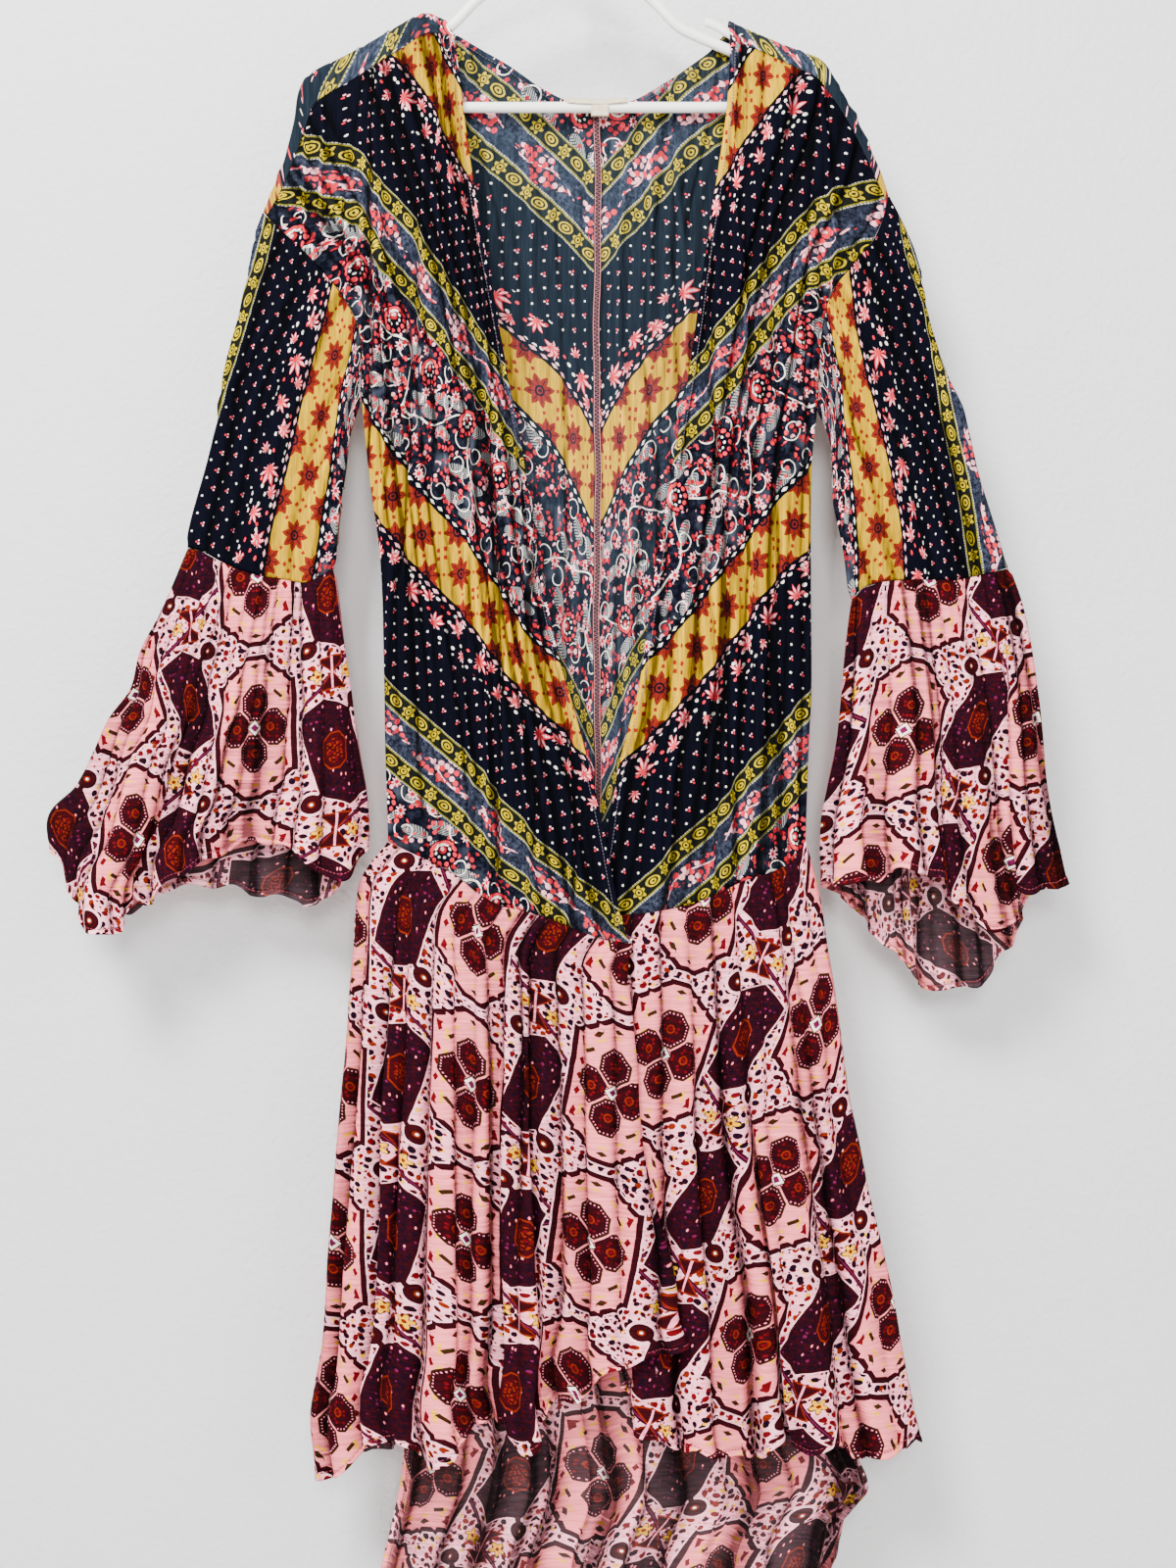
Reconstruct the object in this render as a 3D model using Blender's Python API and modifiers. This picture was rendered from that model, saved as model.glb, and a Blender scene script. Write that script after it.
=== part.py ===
"""Open kimono dress on a tube hanger: thin cloth panels with their folds, hung flat.

Metres, +Z up, the front faces -Y. The origin is the inside top of the hanger's hook, where a rail
would carry it. Tables are in millimetres. Left is -X. Each piece that a maker would cut is one
object: its edge curves are seams that it shares with its neighbours, and its wall is one cloth thick.
"""

import math

import bmesh
import bpy
import numpy as np
from mathutils import Vector

MM = 0.001

# Cloth
CLOTH = 1.2  # wall of the crinkled cloth with its turned edges, mm
SEAM_TRIM = 0.22  # each piece stops this far short of a seam line, mm
SLEEVE_SHIFT = 0.8  # a sleeve's first ring lies this far out from the armhole's seam line, mm
SIDE_GAP = 0.8  # a side seam's front and back edges lie this far from the garment's mid plane, mm
ARM_STEPS = 10  # steps along half of an armhole or cuff
SIDE_STEPS = 9  # steps along a side seam
SKIRT_SPLIT = 2  # skirt columns for each bodice column
FRONT_ROWS = 12
BACK_ROWS = 10
TRAIN_ROWS = 4
SLEEVE_ROWS = 12
FLOUNCE_ROWS = 9

# Hanger
TUBE_R = 4.4
STUB_R = 3.7
HOOK_R = 3.5
HOOK_BEND_R = 23.5
HANGER_HALF = 206.6
KINK_X = 92.0
KINK_Z = -148.0
NECK_Z = -92.0
BAR_Z = -212.8
ARM_SLOPE = 0.414
STUB_START_X = 115.0
STUB_START_Z = -141.5

# Shoulders, from the neck to the sleeve: the ridge over the hanger, the forward seam below it, and
# the radius of the roll between them.
SHOULDER_COLUMNS = ("ridge_x", "ridge_z", "seam_x", "seam_z", "roll")
LEFT_SHOULDER = [
    (-98.0, -142.5, -89.6, -157.6, 6.3),
    (-115.0, -136.0, -112.0, -155.0, 6.3),
    (-140.0, -148.5, -135.0, -168.5, 6.3),
    (-157.0, -158.5, -155.0, -181.0, 6.3),
    (-181.0, -171.5, -177.0, -195.0, 6.3),
    (-206.0, -184.0, -199.0, -208.0, 6.3),
    (-217.6, -199.0, -206.5, -217.0, 6.0),
    (-222.0, -225.0, -212.0, -232.0, 5.2),
    (-229.0, -252.0, -221.0, -257.0, 4.2),
    (-239.0, -279.0, -232.5, -283.0, 3.2),
]
RIGHT_SHOULDER = [
    (134.4, -142.8, 135.2, -160.0, 6.3),
    (150.0, -149.5, 150.4, -165.0, 6.3),
    (170.0, -158.0, 170.0, -174.0, 6.3),
    (190.0, -166.0, 189.5, -183.0, 6.3),
    (210.4, -174.5, 204.5, -190.0, 6.0),
    (223.0, -192.0, 214.0, -200.0, 5.4),
    (240.0, -222.4, 232.0, -227.0, 4.4),
    (252.8, -250.4, 246.0, -254.0, 3.5),
    (261.0, -271.0, 255.5, -274.0, 2.9),
]
LEFT_ARMHOLE = [(-247.2, -299.2), (-236.8, -310.4), (-210, -336), (-184.8, -364), (-170, -390),
                (-165.6, -412), (-166.4, -452)]
RIGHT_ARMHOLE = [(265.6, -286), (256.5, -316), (235.2, -344), (220.8, -359), (211.2, -392),
                 (207.6, -430), (207.2, -462)]
SHOULDER_DEPTH = 8.0  # half depth of the armhole's oval

# Back neck, from the centre back seam to the shoulder (x, z, depth)
CENTRE_X = 26.4
LEFT_NECK = [(26.4, -207.2, 10.0), (3, -204, 10.0), (-22, -191.5, 9.6), (-46, -175, 9.0), (-72, -160.5, 8.0)]
RIGHT_NECK = [(26.4, -207.2, 10.0), (52, -205, 10.0), (76, -193, 9.6), (98, -179.5, 9.0), (120, -163.5, 8.0)]

# Sides of the bodice, from the underarm to the waist
LEFT_SIDE = [(-166.4, -452), (-160.8, -512), (-152, -576), (-149.6, -614), (-148, -690), (-147.2, -740),
             (-144.8, -815.2)]
RIGHT_SIDE = [(207.2, -462), (202.4, -512), (202.0, -600), (202.4, -690), (200, -742), (197.6, -814.4)]

# Open front edges, from the shoulder seam to the waist (x, z, depth)
LEFT_EDGE = [(-89.6, -157.6, 7), (-85.6, -190, 9), (-80, -235, 10), (-68.8, -312, 12), (-57.6, -370, 13),
             (-44.8, -444, 14), (-34.4, -495, 15), (-22.4, -576, 16), (-3.2, -672, 18), (11.2, -720, 19),
             (29.6, -794, 21), (42.4, -860, 22), (52, -896.8, 22)]
RIGHT_EDGE = [(135.2, -160, 7), (132.8, -212, 10), (124, -276, 11), (113.6, -345, 12), (103.2, -422, 13),
              (92.8, -485, 13), (76.8, -576, 13), (63.2, -672, 13), (55.2, -716, 13), (44, -752, 13),
              (37.6, -794, 13), (30, -840, 13), (22, -872, 13)]

# Waist seams, from the side to the front edge or to the centre back (x, z, depth)
LEFT_WAIST = [(-144.8, -815.2, 0.8), (-119.2, -827, 7), (-93.6, -838.4, 11), (-75.2, -853.6, 14),
              (-52.8, -866.4, 16), (-32, -871.2, 17), (-1.6, -880.8, 19), (24, -892, 21), (52, -896.8, 22)]
RIGHT_WAIST = [(197.6, -814.4, 0.8), (189.6, -828.8, 5), (166.4, -840.8, 9), (140.8, -848.8, 11),
               (116, -861.6, 12), (90.4, -868.8, 13), (54.4, -874.4, 13), (22, -872, 13)]
BACK_WAIST_LEFT = [(-144.8, -815.2, 0.8), (-110, -833, 7), (-60, -852, 9), (-10, -863, 10), (26.4, -866, 10)]
BACK_WAIST_RIGHT = [(197.6, -814.4, 0.8), (162, -833, 7), (112, -852, 9), (62, -863, 10), (26.4, -866, 10)]

# Soft vertical folds in the bodice: place across the panel at its top and at its waist (0 side,
# 1 front edge or centre back), half width as a share of the panel, height in mm.
FOLD_COLUMNS = ("top", "waist", "width", "height")
LEFT_FRONT_FOLDS = [(0.42, 0.34, 0.05, 2.2), (0.62, 0.52, 0.05, 2.6), (0.80, 0.72, 0.05, 3.0), (0.95, 0.90, 0.04, 2.6)]
RIGHT_FRONT_FOLDS = [(0.40, 0.30, 0.05, 2.4), (0.60, 0.52, 0.05, 2.6), (0.78, 0.72, 0.05, 2.6), (0.94, 0.88, 0.04, 2.4)]
LEFT_BACK_FOLDS = [(0.35, 0.25, 0.05, 2.0), (0.60, 0.48, 0.05, 2.4), (0.82, 0.72, 0.05, 2.0)]
RIGHT_BACK_FOLDS = [(0.38, 0.28, 0.05, 2.2), (0.64, 0.52, 0.05, 2.0), (0.84, 0.76, 0.05, 2.2)]

# Sleeves: outer edge from the shoulder, inner edge from the underarm, and the cuff seam between them
LEFT_SLEEVE_OUTER = [(-247.2, -299.2), (-254.4, -325), (-260, -359), (-268.8, -396), (-277.6, -430),
                     (-281.5, -464), (-291.2, -508), (-301.6, -544), (-308.8, -574.4)]
LEFT_SLEEVE_INNER = [(-166.4, -452), (-176.8, -480), (-181, -512), (-186.4, -544), (-190.4, -592)]
LEFT_CUFF = [(-308.8, -574.4), (-292, -579.2), (-280.8, -586.4), (-256.8, -596), (-233.6, -600),
             (-210.4, -603), (-190.4, -592)]
RIGHT_SLEEVE_OUTER = [(265.6, -286), (278.4, -312), (289.6, -342), (296, -381), (308.8, -422), (327.2, -468),
                      (338.4, -513), (352, -554), (363.2, -591)]
RIGHT_SLEEVE_INNER = [(207.2, -462), (217, -480), (220.5, -500), (222, -536), (230.4, -574), (236, -617)]
RIGHT_CUFF = [(363.2, -591), (340, -597), (317.6, -601.6), (288.8, -600.8), (264, -602), (246.4, -606.4), (236, -617)]
CUFF_DEPTH = 7.0  # half depth of a cuff's oval
# Folds along a sleeve: place at the shoulder and at the cuff (0 outer edge, 1 inner), width, height
LEFT_SLEEVE_FOLDS = [(0.30, 0.22, 0.05, 2.4), (0.55, 0.48, 0.05, 2.8), (0.78, 0.74, 0.05, 2.2)]
RIGHT_SLEEVE_FOLDS = [(0.30, 0.22, 0.04, 4.2), (0.52, 0.42, 0.04, -3.0), (0.74, 0.66, 0.05, 2.8)]

# Flounce edges, from the cuff to the hem
LEFT_FLOUNCE_OUTER = [(-308.8, -574.4), (-318.4, -598), (-330, -626), (-346, -657), (-354, -690), (-374, -720),
                      (-393, -767), (-414, -788), (-422, -808), (-419, -826)]
LEFT_FLOUNCE_INNER = [(-190.4, -592), (-186.4, -624), (-177, -697), (-171, -743), (-165, -786), (-166, -824)]
RIGHT_FLOUNCE_OUTER = [(363.2, -591), (374.4, -626), (383.2, -669), (388.8, -712), (394.4, -769), (406.4, -829),
                       (410, -845)]
RIGHT_FLOUNCE_INNER = [(236, -617), (233, -650), (230.4, -683), (225, -741), (214, -800), (215, -846)]

# Hems, a row for each fold's ridge or valley: share of the cloth's width (0 to 100), x, z, depth
# from the mid plane.
HEM_COLUMNS = ("share", "x", "z", "depth")
LEFT_FLOUNCE_FRONT = [(0, -419, -826, 0), (4, -408, -834, 8), (9, -402, -845, 12), (14, -393, -862, 16),
                      (19, -391, -883, 20), (24, -374, -893, 24), (30, -359, -888, 20), (35, -352, -862, 10),
                      (41, -334, -862, 14), (47, -317, -846, 21), (52, -303, -840, 22), (57, -289, -824, 15),
                      (63, -268, -820, 9), (68, -248, -813, 15), (73, -230, -818, 25), (78, -214, -832, 28),
                      (84, -196, -842, 23), (90, -182, -841, 17), (95, -172, -832, 10), (100, -166, -824, 0)]
LEFT_FLOUNCE_BACK = [(0, -419, -826, 0), (8, -400, -846, 8), (16, -384, -868, 14), (24, -362, -872, 10),
                     (32, -343, -866, 16), (40, -322, -853, 10), (48, -302, -848, 6), (56, -282, -855, 12),
                     (64, -262, -860, 7), (72, -242, -862, 4), (79, -226, -864, 12), (86, -208, -866, 5),
                     (92, -190, -853, 12), (96, -176, -838, 7), (100, -166, -824, 0)]
RIGHT_FLOUNCE_FRONT = [(0, 410, -845, 0), (5, 394, -853, 8), (10, 378, -858, 10), (15, 362, -851, 8),
                       (20, 361, -872, 14), (25, 366, -881, 22), (30, 352, -887, 27), (36, 338, -882, 24),
                       (41, 320, -872, 28), (46, 311, -862, 26), (51, 305, -840, 24), (57, 292, -835, 30),
                       (63, 270, -836, 22), (69, 262, -846, 12), (75, 248, -849, 14), (82, 240, -853, 24),
                       (89, 226, -853, 18), (94, 219, -851, 9), (100, 215, -846, 0)]
RIGHT_FLOUNCE_BACK = [(0, 410, -845, 0), (7, 388, -858, 10), (14, 377, -876, 6), (21, 373, -895, 12),
                      (28, 358, -913, 6), (35, 344, -928, 12), (42, 332, -938, 5), (48, 319, -940, 12),
                      (54, 306, -941, 14), (60, 292, -934, 6), (66, 284, -918, 14), (73, 268, -907, 6),
                      (80, 252, -890, 12), (87, 240, -872, 6), (94, 228, -858, 9), (100, 215, -846, 0)]
LEFT_SKIRT_SIDE = [(-144.8, -815.2), (-156, -818), (-164, -833), (-168, -850), (-172, -892), (-176.8, -942),
                   (-180, -994), (-185.6, -1044), (-188.8, -1094), (-193.6, -1145), (-196, -1192),
                   (-201, -1248), (-207, -1276), (-210, -1304), (-204, -1328)]
RIGHT_SKIRT_SIDE = [(197.6, -814.4), (203, -826), (209, -858), (216.8, -909), (225, -959), (231, -1010),
                    (240, -1054), (247.6, -1094), (260, -1145), (269.6, -1189), (280, -1248), (293, -1308)]
SKIRT_FRONT_LEFT_HEM = [(0, -204, -1328, 0.8), (5, -184, -1331, 9), (10, -165, -1314, 15), (14, -150, -1303, 23),
                        (19, -138, -1297, 14), (24, -127, -1306, 23), (30, -110, -1311, 17),
                        (37, -88, -1313, 24), (42, -82, -1292, 13), (49, -56, -1286, 18),
                        (55, -41, -1284, 13), (60, -37, -1300, 22), (65, -28, -1306, 27),
                        (69, -18, -1288, 18), (73, -15, -1267, 14), (78, 4, -1272, 22), (82, 12, -1259, 16),
                        (87, 26, -1247, 26), (93, 52, -1236, 33), (100, 88, -1226, 35)]
SKIRT_FRONT_LAP_HEM = [(0, 88, -1226, 35), (20, 91, -1229, 31), (40, 80, -1236, 27.5), (65, 52, -1254, 25),
                       (82, 42, -1260, 21.5), (100, 47, -1256, 18)]
SKIRT_FRONT_RIGHT_HEM = [(0, 47, -1256, 18), (6, 62, -1280, 15), (13, 72, -1303, 22), (20, 94, -1306, 15),
                         (27, 106, -1304, 23), (34, 122, -1316, 25), (41, 138, -1306, 15),
                         (48, 158, -1311, 13), (55, 172, -1302, 23), (62, 186, -1301, 13),
                         (70, 202, -1313, 23), (77, 222, -1306, 14), (85, 246, -1314, 22),
                         (92, 264, -1304, 12), (100, 293, -1308, 0.8)]
# The back skirt hangs on below the front as a narrower train.
KNEE_ROW = [(0, -204, -1328, 0.8), (6, -176, -1322, 8), (12, -146, -1318, 9), (16, -132, -1316, 16),
            (22, -105, -1312, 8), (28, -80, -1312, 16), (34, -56, -1312, 8), (40, -30, -1312, 15),
            (45, -8, -1312, 6), (50, 12, -1312, 16), (54, 30, -1312, 7), (60, 62, -1312, 15),
            (66, 90, -1312, 7), (72, 118, -1312, 16), (78, 150, -1312, 7), (84, 186, -1312, 15),
            (88, 214, -1314, 8), (92, 243, -1319, 13), (96, 268, -1318, 8), (100, 293, -1308, 0.8)]
TRAIN_HEM = [(0, -150, -1462, 8), (10, -138, -1482, 16), (18, -112, -1488, 8), (26, -84, -1494, 18),
             (34, -54, -1498, 8), (42, -26, -1502, 17), (49, 0, -1504, 6), (56, 26, -1504, 18),
             (62, 48, -1502, 7), (70, 78, -1498, 17), (78, 108, -1492, 8), (86, 140, -1482, 17),
             (93, 176, -1464, 9), (100, 208, -1440, 13)]
TRAIN_LEFT = [(-132, -1316), (-137, -1350), (-146, -1395), (-152, -1430), (-150, -1462)]
TRAIN_RIGHT = [(243, -1319), (252, -1336), (249, -1356), (232, -1372), (232, -1392), (222, -1415), (208, -1440)]
TRAIN_FROM = 0.16  # share of the knee row where the train starts
TRAIN_TO = 0.92

# Labels, blank
LABEL = {"width": 50.0, "height": 13.0, "thick": 0.8, "x": 26.4, "top": -204.5, "y": 7.4}
TAG = {"width": 15.0, "thick": 0.8, "x": 29.0, "roll": 5.4, "front_end": -221.5, "back_end": -215.0}

COLOURS = {
    "navy_print": (0.028, 0.035, 0.075, 1.0),
    "pink_print": (0.66, 0.33, 0.36, 1.0),
    "white_plastic": (0.80, 0.80, 0.80, 1.0),
    "white_tape": (0.78, 0.76, 0.72, 1.0),
}


def clear_scene():
    for obj in list(bpy.data.objects):
        bpy.data.objects.remove(obj, do_unlink=True)


def make_material(name, roughness):
    material = bpy.data.materials.new(name)
    material.use_nodes = True
    shader = material.node_tree.nodes["Principled BSDF"]
    shader.inputs["Base Color"].default_value = COLOURS[name]
    shader.inputs["Roughness"].default_value = roughness
    shader.inputs["Metallic"].default_value = 0.0
    return material


def add_object(name, mesh, material):
    obj = bpy.data.objects.new(name, mesh)
    obj.data.materials.append(material)
    bpy.data.collections["kimono_dress"].objects.link(obj)
    return obj


# Curves and sheets, as arrays of millimetre points

def smooth_path(points, fractions):
    """Points at these fractions of the length of a smooth curve through the given points."""
    rows = np.array(points, float)
    ends = np.vstack([2 * rows[0] - rows[1], rows, 2 * rows[-1] - rows[-2]])
    dense = []
    for before, start, stop, after in zip(ends, ends[1:], ends[2:], ends[3:]):
        for t in np.linspace(0, 1, 12, endpoint=False):
            dense.append(0.5 * (2 * start + (stop - before) * t
                                + (2 * before - 5 * start + 4 * stop - after) * t**2
                                + (3 * start - before - 3 * stop + after) * t**3))
    return along(np.array(dense + [rows[-1]]), fractions)


def along(points, fractions):
    """Points at these fractions of the length of a polyline."""
    steps = np.linalg.norm(np.diff(points, axis=0), axis=1)
    length = np.concatenate([[0], np.cumsum(steps)]) / steps.sum()
    return np.column_stack([np.interp(fractions, length, axis) for axis in points.T])


def hem_path(rows, fractions, side):
    """x, y, z of a hem table at these shares of the cloth, on the front (-1) or the back (+1)."""
    share, x, z, depth = np.array(rows, float).T
    place = np.asarray(fractions) * 100
    return np.column_stack([np.interp(place, share, x), side * np.interp(place, share, depth),
                            np.interp(place, share, z)])


def flat(points, y=0.0):
    """x, z rows as x, y, z rows at one depth."""
    points = np.asarray(points, float)
    return np.column_stack([points[:, 0], np.full(len(points), y), points[:, 1]])


def deep(points, side):
    """x, z, depth rows as x, y, z rows on the front (-1) or the back (+1)."""
    points = np.asarray(points, float)
    return np.column_stack([points[:, 0], side * points[:, 2], points[:, 1]])


def coons(bottom, top, left, right, u, v):
    """The sheet between four edges that meet at their ends: rows run from bottom to top."""
    u = np.asarray(u)[None, :, None]
    v = np.asarray(v)[:, None, None]
    across = (1 - u) * left[:, None] + u * right[:, None]
    upward = (1 - v) * bottom[None] + v * top[None]
    corners = ((1 - u) * (1 - v) * bottom[0] + u * (1 - v) * bottom[-1]
               + (1 - u) * v * top[0] + u * v * top[-1])
    return across + upward - corners


def smoothstep(x):
    x = np.clip(x, 0, 1)
    return x * x * (3 - 2 * x)


def add_folds(grid, folds, u, v, side):
    """Raises soft folds out of a sheet. They fade out towards every edge."""
    u, v = np.meshgrid(u, v)
    fade = (smoothstep(u / 0.12) * smoothstep((1 - u) / 0.08)
            * smoothstep(v / 0.12) * smoothstep((1 - v) / 0.25))
    for top, waist, width, height in folds:
        middle = waist + (top - waist) * v
        grid[:, :, 1] += side * height * fade * np.exp(-((u - middle) / width) ** 2)
    return grid


def trim(grid, **edges):
    """Draws the named edges back from their seam lines, by SEAM_TRIM times the number given."""
    ends = {"bottom": (grid[0], grid[1]), "top": (grid[-1], grid[-2]),
            "left": (grid[:, 0], grid[:, 1]), "right": (grid[:, -1], grid[:, -2])}
    for name, amount in edges.items():
        edge, inner = ends[name]
        way = inner - edge
        edge += way / np.linalg.norm(way, axis=1)[:, None] * SEAM_TRIM * amount
    return grid


def cloth(name, grids, material, closed=False):
    """One cloth piece: its grids welded along the edges they share, and given the cloth's wall."""
    mesh = bmesh.new()
    for grid in grids:
        rows, columns = grid.shape[:2]
        verts = [[mesh.verts.new(point * MM) for point in row] for row in grid]
        for r in range(rows - 1):
            for c in range(columns - 1):
                mesh.faces.new((verts[r][c], verts[r][c + 1], verts[r + 1][c + 1], verts[r + 1][c]))
    bmesh.ops.remove_doubles(mesh, verts=mesh.verts, dist=0.00002)
    bmesh.ops.recalc_face_normals(mesh, faces=mesh.faces)
    data = bpy.data.meshes.new(name)
    mesh.to_mesh(data)
    mesh.free()
    data.shade_smooth()
    piece = add_object(name, data, material)
    wall = piece.modifiers.new("cloth wall", "SOLIDIFY")
    wall.thickness = CLOTH * MM
    wall.offset = 0.0
    wall.use_quality_normals = True
    return piece


# Seams that two pieces share

def arm_fractions():
    """Steps along half of an armhole, closer together at the folds."""
    return (1 - np.cos(np.pi * np.arange(ARM_STEPS + 1) / ARM_STEPS)) / 2


def oval(depth):
    """Depth of each step along half of a flattened tube."""
    return depth * np.sin(np.pi * np.arange(ARM_STEPS + 1) / ARM_STEPS)


def half_ring(points, depth, side):
    """Half of a flattened tube's edge: outer fold to inner fold."""
    ring = flat(smooth_path(points, arm_fractions()))
    ring[:, 1] = side * oval(depth)
    return ring


def shoulder_strip(table, armhole):
    """Rows from the back over the ridge to the forward seam, a column for each station."""
    back_end = half_ring(armhole, SHOULDER_DEPTH, 1)[:2]
    front_end = half_ring(armhole, SHOULDER_DEPTH, -1)[:2]
    columns = []
    for ridge_x, ridge_z, seam_x, seam_z, roll in table:
        way = np.array([seam_x - ridge_x, seam_z - ridge_z])
        fall = np.linalg.norm(way)
        column = []
        for turn in np.radians([0, 45, 90, 135, 180]):
            x, z = np.array([ridge_x, ridge_z]) + way / fall * roll * (1 - math.sin(turn))
            column.append((x, roll * math.cos(turn), z))
        column.append((seam_x, -roll - 0.6, seam_z))
        columns.append(column)
    shares = np.array([0, 0.5, 1.0])
    last = np.vstack([back_end[1] + (back_end[0] - back_end[1]) * s for s in shares]
                     + [front_end[0] + (front_end[1] - front_end[0]) * s for s in (0.4, 0.7, 1.0)])
    columns.append(last)
    return np.array(columns).transpose(1, 0, 2)


def bodice_rows(side_table, armhole, side):
    """The outer edge of a bodice panel, from the waist up the side seam and the armhole."""
    steps = np.arange(SIDE_STEPS + 1) / SIDE_STEPS
    seam = flat(smooth_path(side_table[::-1], steps), side * SIDE_GAP)
    arm = half_ring(armhole, SHOULDER_DEPTH, side)[::-1]
    return np.vstack([seam, arm[1:-1]])


def bodice_panel(outer, inner_table, waist, top, side, folds):
    """A sheet from the side (u 0) to its inner edge (u 1), and from the waist (v 0) to its top."""
    steps = len(outer) - 1
    lower = SIDE_STEPS / steps
    v = np.interp(np.arange(steps + 1) / steps, [0, lower, 1], [0, 0.56, 1])
    inner = deep(smooth_path(inner_table[::-1], v), side)
    inner[0], inner[-1] = waist[-1], top[-1]
    u = np.linspace(0, 1, len(top))
    grid = coons(waist, top, outer, inner, u, v)
    depth = coons(waist, top, outer, inner, 1 - (1 - u) ** 2.2, v)[:, :, 1]
    grid[1:-1, 1:-1, 1] = depth[1:-1, 1:-1]
    return add_folds(grid, folds, u, v, side)


def front_panel(name, shoulder, armhole, side_table, edge, waist, folds, material):
    strip = shoulder_strip(shoulder, armhole)
    top = strip[-1][::-1]
    outer = bodice_rows(side_table, armhole, -1)
    bottom = deep(smooth_path(waist, np.linspace(0, 1, len(top))), -1)
    outer[0] = bottom[0]
    grid = bodice_panel(outer, edge, bottom, top, -1, folds)
    cloth(name, [trim(grid, bottom=1, top=1, left=1)], material)
    return bottom


def back_panel(name, shoulder, armhole, side_table, neck, waist, folds, material):
    strip = shoulder_strip(shoulder, armhole)
    neckline = deep(neck, 1)
    top = np.vstack([strip[0][::-1], neckline[::-1]])
    outer = bodice_rows(side_table, armhole, 1)
    bottom = deep(smooth_path(waist, np.linspace(0, 1, len(top))), 1)
    outer[0] = bottom[0]
    centre = [tuple(neck[0]), (CENTRE_X, -420, 12.0), (CENTRE_X, -640, 11.0), tuple(waist[-1])]
    grid = bodice_panel(outer, centre, bottom, top, 1, folds)
    trim(grid, bottom=1, left=1, right=1)
    cloth(name, [grid, trim(strip, top=1, right=2.5)], material)
    return bottom


def tube_sheet(top, bottom, outer, inner, rows, sag):
    """Half of a flattened tube from its top ring down to its lower edge."""
    v = np.linspace(0, 1, rows + 1)
    u = np.linspace(0, 1, len(top))
    left = flat(smooth_path(outer, v))
    right = flat(smooth_path(inner, v))
    grid = coons(top, bottom, left, right, u, v)
    grid[:, :, 1] = top[None, :, 1] + (bottom - top)[None, :, 1] * (v[:, None] ** sag)
    return grid


def sleeve(name, armhole, cuff, outer, inner, folds, material):
    outward = math.copysign(SLEEVE_SHIFT, armhole[0][0])
    armhole = [(x + outward, z) for x, z in armhole]
    inner = [armhole[-1]] + inner[1:]
    halves = []
    for side in (-1, 1):
        grid = tube_sheet(half_ring(armhole, SHOULDER_DEPTH, side), half_ring(cuff, CUFF_DEPTH, side),
                          outer, inner, SLEEVE_ROWS, 1.0)
        v = np.linspace(0, 1, SLEEVE_ROWS + 1)
        u = arm_fractions()
        add_folds(grid, folds, u, 1 - v, side)
        halves.append(trim(grid, bottom=1.2, top=1))
    cloth(name, halves, material)


def finer(points, split):
    """The same polyline with each step split evenly."""
    count = len(points) - 1
    at = np.arange(count * split + 1) / split
    return np.column_stack([np.interp(at, np.arange(count + 1), axis) for axis in points.T])


def flounce(name, cuff, outer, inner, front_hem, back_hem, material):
    halves = []
    for side, hem in ((-1, front_hem), (1, back_hem)):
        top = finer(half_ring(cuff, CUFF_DEPTH, side), 2)
        bottom = hem_path(hem, np.linspace(0, 1, len(top)), side)
        grid = tube_sheet(top, bottom, outer, inner, FLOUNCE_ROWS, 1.25)
        halves.append(trim(grid, bottom=1.2))
    cloth(name, halves, material)


def skirt_front(left_waist, right_waist, material):
    """One gathered piece. Down its middle it laps over itself, under the lapped front edges."""
    corner, under = left_waist[-1], right_waist[-1]
    lap = np.array([corner, corner + (2.6, 1.8, 2.0), corner + (0.5, 3.8, 6.0),
                    (38.0, -17.6, -884.0), under + (1.6, -4.0, -1.0), under + (-1.4, -2.0, -0.5), under])
    left = finer(left_waist, SKIRT_SPLIT)
    right = finer(right_waist, SKIRT_SPLIT)[::-1]
    top = np.vstack([left, lap[1:-1], right])
    shares = [np.linspace(0, 1, len(left)), np.linspace(0, 1, len(lap))[1:-1], np.linspace(0, 1, len(right))]
    tables = [SKIRT_FRONT_LEFT_HEM, SKIRT_FRONT_LAP_HEM, SKIRT_FRONT_RIGHT_HEM]
    hem = np.vstack([hem_path(table, share, -1) for table, share in zip(tables, shares)])
    grid = tube_sheet(top, hem, LEFT_SKIRT_SIDE, RIGHT_SKIRT_SIDE, FRONT_ROWS, 0.85)
    cloth("skirt_front", [trim(grid, bottom=1)], material)


def skirt_back(left_waist, right_waist, material):
    """One gathered piece down to the knee, and below it the narrower train of the long back hem."""
    top = np.vstack([finer(left_waist, SKIRT_SPLIT), finer(right_waist, SKIRT_SPLIT)[::-1][1:]])
    share = np.linspace(0, 1, len(top))
    knee = hem_path(KNEE_ROW, share, 1)
    grid = tube_sheet(top, knee, LEFT_SKIRT_SIDE, RIGHT_SKIRT_SIDE, BACK_ROWS, 0.85)
    first = int(np.argmin(abs(share - TRAIN_FROM)))
    last = int(np.argmin(abs(share - TRAIN_TO)))
    start = knee[first:last + 1]
    hem = hem_path(TRAIN_HEM, np.linspace(0, 1, len(start)), 1)
    v = np.linspace(0, 1, TRAIN_ROWS + 1)
    left = flat(smooth_path(TRAIN_LEFT, v)) + start[0] * (0, 1, 0)
    right = flat(smooth_path(TRAIN_RIGHT, v)) + start[-1] * (0, 1, 0)
    left[0], right[0] = start[0], start[-1]
    left[-1], right[-1] = hem[0], hem[-1]
    train = coons(start, hem, left, right, np.linspace(0, 1, len(start)), v)
    cloth("skirt_back", [trim(grid, bottom=1), train], material)


# Hanger and labels

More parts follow.
